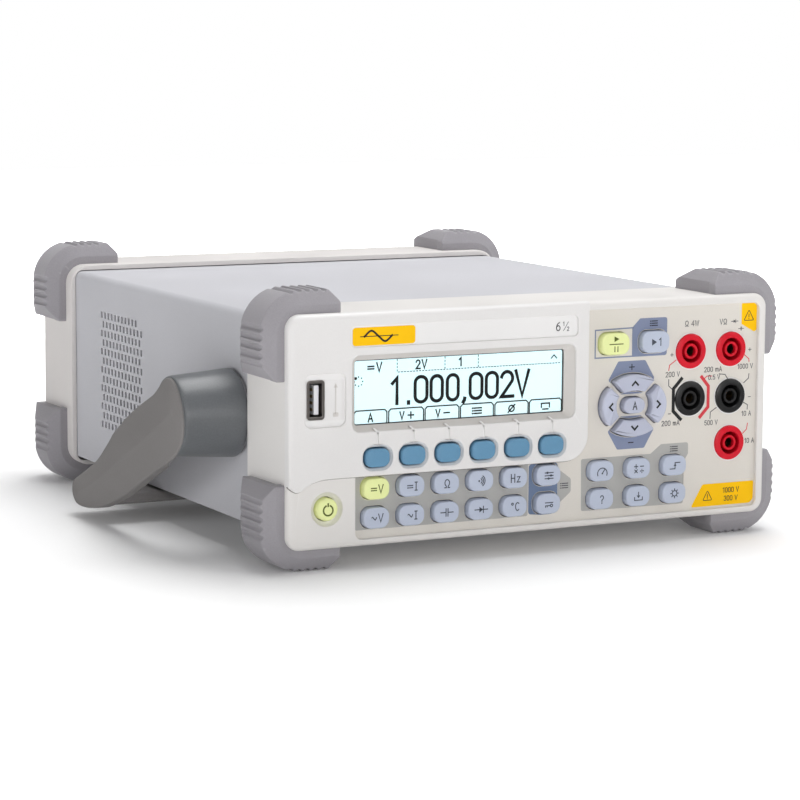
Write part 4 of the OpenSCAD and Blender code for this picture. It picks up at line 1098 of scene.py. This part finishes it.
def power_button():
    b = Build("power_cap", "power_key", [M["lit_key"], M["olive_ink"]], "lit_key", ["power_key"])
    cx, cz = POWER
    tip = node_span("power_key")[0][1]
    prof = [(0.3, tip + 0.05), (2.0, tip + 0.07), (3.1, tip + 0.14), (3.7, tip + 0.3), (4.1, tip + 0.62),
            (4.35, tip + 1.1), (4.35, 4.4)]
    b.turned(cx, cz, prof + [(0.3, 4.4)])
    draw_mark(b, "power", cx, cz - 0.2, 0.62, tip + 0.08, 1, 1.0, proud=0.02, sink=0.2)
    b.done()


# ---------------------------------------------------------------- sockets on the front

def usb_port():
    b = Build("usb_shell", CASE, [M["usb_steel"], M["tongue"], M["contact"]], "plated_steel",
              ["usb_host_port"])
    b.slab(rr(USB_X, USB_Z, 7.2, 14.8, 1.2, 5), [(rr(USB_X, USB_Z, 5.1, 12.5, 0.35, 3), 0.25)], -0.8, -0.3,
           edge=0.2, segs=3)
    b.slab(rr(USB_X, USB_Z, 6.0, 13.4, 0.7, 4), [(rr(USB_X, USB_Z, 5.1, 12.5, 0.35, 3), 0.0)], -0.35, 14.0,
           edge=0)
    b.slab(rr(USB_X, USB_Z, 5.6, 13.0, 0.4, 4), [], 12.6, 13.9, edge=0)
    b.slab(rr(-94.9, 66, 2.1, 11.2, 0.3, 3), [], 0.4, 12.7, edge=0.25, mat=1)
    for i in range(4):
        b.slab(rr(-96.0, 66 + 2.5 * (i - 1.5), 0.24, 1.1, 0.1, 2), [], 1.4, 11.5, edge=0.05, mat=2, segs=2)
    for z in (62.6, 69.4):
        b.slab(rr(-92.98, z, 0.3, 2.0, 0.1, 2), [], 2.2, 6.4, edge=0.05, segs=2)
        b.slab(rr(-98.02, z, 0.3, 2.0, 0.1, 2), [], 2.2, 6.4, edge=0.05, segs=2)
    b.done()
    # upright mark beside the socket
    m = Build("usb_mark", CASE, [M["fascia_slope"]], "fascia_plastic")
    y = FASCIA_Y + 0.88
    m.ribbon([(-87.2, 60.5), (-87.2, 70.8)], 0.3, y - 0.03, y + 0.05)
    m.slab(ccw([(-88.0, 70.4), (-86.4, 70.4), (-87.2, 72.0)]), [], y - 0.03, y + 0.05, edge=0)
    m.slab(rr(-87.2, 60.2, 2.2, 1.6, 0.3, 3), [], y - 0.03, y + 0.05, edge=0)
    m.done()


def jacks():
    for color, node in (("red", "input_jacks_red"), ("black", "input_jacks_black")):
        b = Build("jacks_" + color, CASE, [M[color + "_jack"]], color + "_plastic", [node])
        for x, z in JACKS[color]:
            prof = [(6.1, 1.5), (7.0, 1.5), (7.0, 1.05), (6.86, 0.78), (6.5, 0.62), (5.5, 0.42),
                    (5.0, 0.32), (4.72, 0.36), (4.55, 0.6), (4.5, 18.0), (3.15, 18.0), (3.15, 1.35),
                    (3.08, 1.0), (2.9, 0.82), (2.6, 0.78), (2.25, 0.84), (2.06, 1.05), (2.04, 2.6),
                    (2.64, 2.62), (2.64, 22.0), (5.95, 22.0), (5.95, 7.0), (7.8, 7.0), (7.8, 4.05),
                    (6.0, 4.05), (6.0, 1.5)]
            b.turned(x, z, prof + [prof[0]], n=64)
        b.done(sharp=30)
    b = Build("contact_sleeves", CASE, [M["contact"]], "contact_brass", ["jack_contacts"])
    for x, z in ALL_JACKS:
        prof = [(0.3, 20.0), (2.05, 20.0), (2.05, 3.2), (2.16, 3.0), (2.44, 2.98), (2.57, 3.2),
                (2.57, 24.0), (0.3, 24.0)]
        b.turned(x, z, prof, n=48)
    b.done(sharp=30)


# ---------------------------------------------------------------- corner bumpers

def bumper_section(outer0, outer1, length):
    """Distance out from the case against depth; extra points near the top keep the grooves crisp."""
    corners = [(-1.7, 0.75), (0.0, 0.03), (3.2, 0.03), (8.8, outer0), (8.8, outer1), (3.4, length),
               (-1.7, length)]
    line = fillet(corners, [0, 0.3, 0.8, 1.2, 1.4, 1.0, 0], 4)
    out = []
    for i, p in enumerate(line):
        a, c = Vector(p), Vector(line[(i + 1) % len(line)])
        out.append(tuple(a))
        steep = abs(c.x - a.x) > 1.2
        n = int((c - a).length / 0.7) if steep and max(a.x, c.x) > 6 else int((c - a).length / 5)
        out += [tuple(a + (c - a) * k / (n + 1)) for k in range(1, n + 1)]
    return out


def groove(h, s, marks, full):
    for m in marks:
        if abs(s - m) < 1.18:
            h = min(h, full + 0.15 - math.sqrt(1.2 ** 2 - (s - m) ** 2))
    return h


def soft_min(a, b, k=3.0):
    return -math.log(math.exp(-k * a) + math.exp(-k * b)) / k if abs(a - b) < 6 else min(a, b)


def bumper_stations(top0, shift, count):
    """Points round the corner, from the top leg's end: (x, z, normal, height, end inset)."""
    corner = (HALF_W - BODY_R, FACE_Z1 - BODY_R)
    full, side0 = FACE_Z0, 73.0
    top_marks = [89.0 + shift + 3.42 * i for i in range(count)]
    side_marks = [79.2 + shift + 3.42 * i for i in range(count)]
    ends = {0: 0.5, 1: 0.2, 2: 0.07}
    out = []
    steps = 68
    for i in range(steps):
        x = top0 + (corner[0] - top0) * i / steps
        h = groove(soft_min(full, 4.1 + 1.18 * (x - top0)), x, top_marks, full)
        out.append((x, FACE_Z1, (0, 1), h, ends.get(i, 0.0)))
    for i in range(61):
        a = math.radians(90 - 1.5 * i)
        turn = (BODY_R + full) * math.radians(1.5)
        h = groove(full, corner[0] + turn * i, top_marks, full)
        h = groove(h, corner[1] + turn * (60 - i), side_marks, full)
        px, pz = corner[0] + BODY_R * math.cos(a), corner[1] + BODY_R * math.sin(a)
        out.append((px, pz, (math.cos(a), math.sin(a)), h, 0.0))
    for i in range(1, steps + 1):
        z = corner[1] + (side0 - corner[1]) * i / steps
        h = groove(soft_min(full, 3.4 + 0.85 * (z - side0)), z, side_marks, full)
        out.append((HALF_W, z, (1, 0), h, ends.get(steps - i, 0.0)))
    return out


def bumpers():
    back = node_span("rear_bumpers")[1][1]
    front = ("bumpers_front", "front_bumpers", 3.0, bumper_section(3.4, 21.2, 31.0),
             bumper_stations(83.3, 0.0, 5))
    rear = ("bumpers_rear", "rear_bumpers", back - 30.6, bumper_section(3.6, 18.3, 30.6),
            bumper_stations(81.8, 1.8, 4))
    for name, node, y0, section, stations in (front, rear):
        b = Build(name, CASE, [M["bumper"]], "bumper_rubber", [node])
        for sx in (1, -1):
            for sz in (1, -1):
                rings = []
                for x, z, (nx, nz), h, inset in stations:
                    cut = [(min(o, h), d) for o, d in section]
                    if inset:
                        last = section[-1][1] - inset
                        cut = [(min(o, h - inset), min(max(d, inset), last)) for o, d in cut]
                    rings.append([(sx * (x + nx * o), y0 + d,
                                   z + nz * o if sz > 0 else 2 * MID_Z - z - nz * o)
                                  for o, d in cut])
                b.loft(rings, cap0=True, cap1=True)
        b.done(sharp=50)


# ---------------------------------------------------------------- carrying bail

PIVOT = (55.5, 55.0)
ARM_OUT = node_span("handle_bail")[1][0]
# the arms' inner face
ARM_IN = ARM_OUT - 6.5


def arm_outline():
    line = [(159.8, 15.4), (153.8, 17.9), (141.9, 23.0), (132.6, 27.7), (121.0, 35.9), (115.4, 40.4),
            (107.5, 45.1), (96.5, 51.0), (82.5, 57.2), (73.0, 61.1), (67.8, 64.1), (61.6, 68.4),
            (57.0, 69.8), (53.5, 69.7), (49.5, 67.8), (45.6, 63.7), (42.7, 58.3), (41.8, 52.2),
            (43.8, 46.2), (48.9, 41.2), (54.9, 37.6), (65.2, 33.4), (81.0, 26.7), (102.6, 16.9),
            (125.0, 8.9), (136.6, 6.2), (148.2, 4.6), (156.5, 4.4), (160.0, 5.4), (162.6, 8.0),
            (163.2, 11.5), (162.2, 14.0)]
    return ccw(smooth_line(line + [line[0]], 4)[:-1])


CREASE = [(50.5, 57.0), (62.0, 50.6), (75.8, 44.0), (103.4, 31.4), (122.1, 22.6), (140.0, 15.0),
          (154.0, 10.4)]


def nearest_on(line, p):
    best, where = 1e9, p
    for i in range(len(line) - 1):
        a, c = Vector(line[i]), Vector(line[i + 1])
        t = max(0.0, min(1.0, (Vector(p) - a).dot(c - a) / (c - a).length_squared))
        q = a + (c - a) * t
        d = (Vector(p) - q).length
        if d < best:
            best, where = d, tuple(q)
    return where


def bail():
    b = Build("bail_frame", "handle", [M["arm"]], "bail_plastic", ["handle_bail"])
    loop = arm_outline()
    crease = smooth_line(CREASE, 6)
    near = [nearest_on(crease, p) for p in loop]
    # round the pivot the arm is only a thin cap on the hub
    inner = [ARM_OUT - 3.3 - 3.2 * min(1, max(0, (y - 58) / 9)) for y, z in loop]
    for s in (1, -1):
        rings = [[(s * (x + 0.4), y, z) for x, (y, z) in zip(inner, near)]]
        for ins, dx in ((0.9, 0.0), (0.3, 0.12), (0.0, 0.6)):
            rings.append([(s * (x + dx), y, z) for x, (y, z) in zip(inner, grown(loop, -ins))])
        for ins, x in ((0.0, ARM_OUT - 2.6), (0.12, ARM_OUT - 2.3), (0.4, ARM_OUT - 1.95),
                       (0.9, ARM_OUT - 1.7)):
            rings.append([(s * x, y, z) for y, z in grown(loop, -ins)])
        last = grown(loop, -0.9)
        for f in (0.2, 0.4, 0.6, 0.8, 0.93, 1.0):
            rise = ARM_OUT - 1.7 + 1.65 * (0.5 * math.sin(f * math.pi / 2) + 0.5 * f)
            rings.append([(s * rise, y + (ny - y) * f, z + (nz - z) * f)
                          for (y, z), (ny, nz) in zip(last, near)])
        b.loft(rings)
    # crossbar under the case, slightly waisted, its ends sunk in the arms
    bar = fillet([(128.8, 8.4), (147, 4.7), (161.6, 4.5), (163.2, 9.4), (160, 12.4), (131, 12.4)],
                 [1.5, 2.5, 1.6, 1.4, 1.6, 1.5], 4)
    waist = ((ARM_IN + 2, 0.0), (ARM_IN - 1.0, 0.0), (ARM_IN - 5, -0.25))
    stations = [(-x, g) for x, g in waist] + [(0.0, -0.3)] + list(waist)[::-1]
    rings = [[(x, y, z) for y, z in grown(bar, g)] for x, g in stations]
    b.loft(rings, cap0=True, cap1=True)
    b.done(sharp=24)


def hubs():
    for side, s in (("left", -1), ("right", 1)):
        b = Build("hub_" + side, "handle", [M["hub"]], "hub_plastic", ["handle_hub_" + side])
        x0 = node_span("handle_hub_right")[0][0]
        x1 = node_span("handle_hub_right")[1][0]
        slope = (17.5 - 15.6) / (x1 - x0)
        prof = [(0.3, 123.6), (9.05, 123.6), (9.05, x0 + 0.4), (9.4, x0), (16.6, x0), (17.1, x0 + 0.12),
                (17.4, x0 + 0.45)]
        prof += [(17.5 - slope * (x - x0), x) for x in (x0 + 1.0, x0 + 6, x0 + 12, x0 + 18, x1 - 2.2)]
        prof += [(15.55, x1 - 0.6), (15.2, x1 - 0.1), (0.3, x1 - 0.1)]
        b.turned_x(PIVOT[0], PIVOT[1], prof, s, n=96)
        b.done(sharp=30)


# ---------------------------------------------------------------- rear frame

def rear_frame():
    b = Build("rear_frame_shell", CASE, [M["frame"]], "frame_plastic", ["rear_frame"])
    y0, y1 = node_span("rear_frame")[0][1], node_span("rear_frame")[1][1]
    w, h = 2 * HALF_W, FACE_Z1 - FACE_Z0

    def ring_(y, dw, r):
        return [(x, y, z) for x, z in rr(0, MID_Z, w - dw, h - dw, r, 8)]
    shell = [ring_(y0, 1.6, 7.4), ring_(y0 + 0.25, 0.5, 7.95), ring_(y0 + 0.8, 0, 8.2),
             ring_(y1 - 3, 0, 8.2), ring_(y1 - 1.9, 0.45, 8.0), ring_(y1 - 0.9, 1.75, 7.3),
             ring_(y1 - 0.25, 3.9, 6.3), ring_(y1, 6.0, 5.2), ring_(y1, 6.5, 4.9),
             ring_(y1 - 0.3, 6.8, 4.6), ring_(261.45, 6.8, 4.6),
             [(x, 261.45, z) for x, z in rr(0, MID_Z, w - 19, h - 15, 3, 8)],
             [(x, 258.7, z) for x, z in rr(0, MID_Z, w - 19, h - 15, 3, 8)],
             ring_(258.7, 4.4, 3.4), ring_(y0, 4.4, 3.4), ring_(y0, 1.6, 7.4)]
    b.loft(shell)
    b.done(sharp=30)


# ---------------------------------------------------------------- kept CAD nodes

KEPT = {"top_cover": "cover", "chassis_tray": "tray", "rear_panel": "rear_paint", "main_board": "board",
        "front_board": "board", "keypad_mat": "mat", "transformer": "lamination", "shield_can": "steel",
        "power_inlet": "dark", "power_rocker": "dark", "rear_connectors": "steel",
        "current_fuse_holder": "dark", "pivot_bosses": "stud", "case_screws": "screw"}


def dress_kept():
    for name, key in KEPT.items():
        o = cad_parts[name]
        o.data.materials.clear()
        o.data.materials.append(M[key])
        m = o.modifiers.new("soft_edges", "BEVEL")
        m.width = 0.0002 if name not in ("top_cover", "transformer", "rear_panel") else 0.0003
        m.segments = 2
        m.limit_method = "ANGLE"
        m.angle_limit = math.radians(50)
        wn = o.modifiers.new("normals", "WEIGHTED_NORMAL")
        wn.keep_sharp = True


bezel()
print_areas()
fascia()
label_strip()
display()
for key_name in KEYS:
    key_cap(key_name)
power_button()
usb_port()
jacks()
bumpers()
bail()
hubs()
rear_frame()
dress_kept()
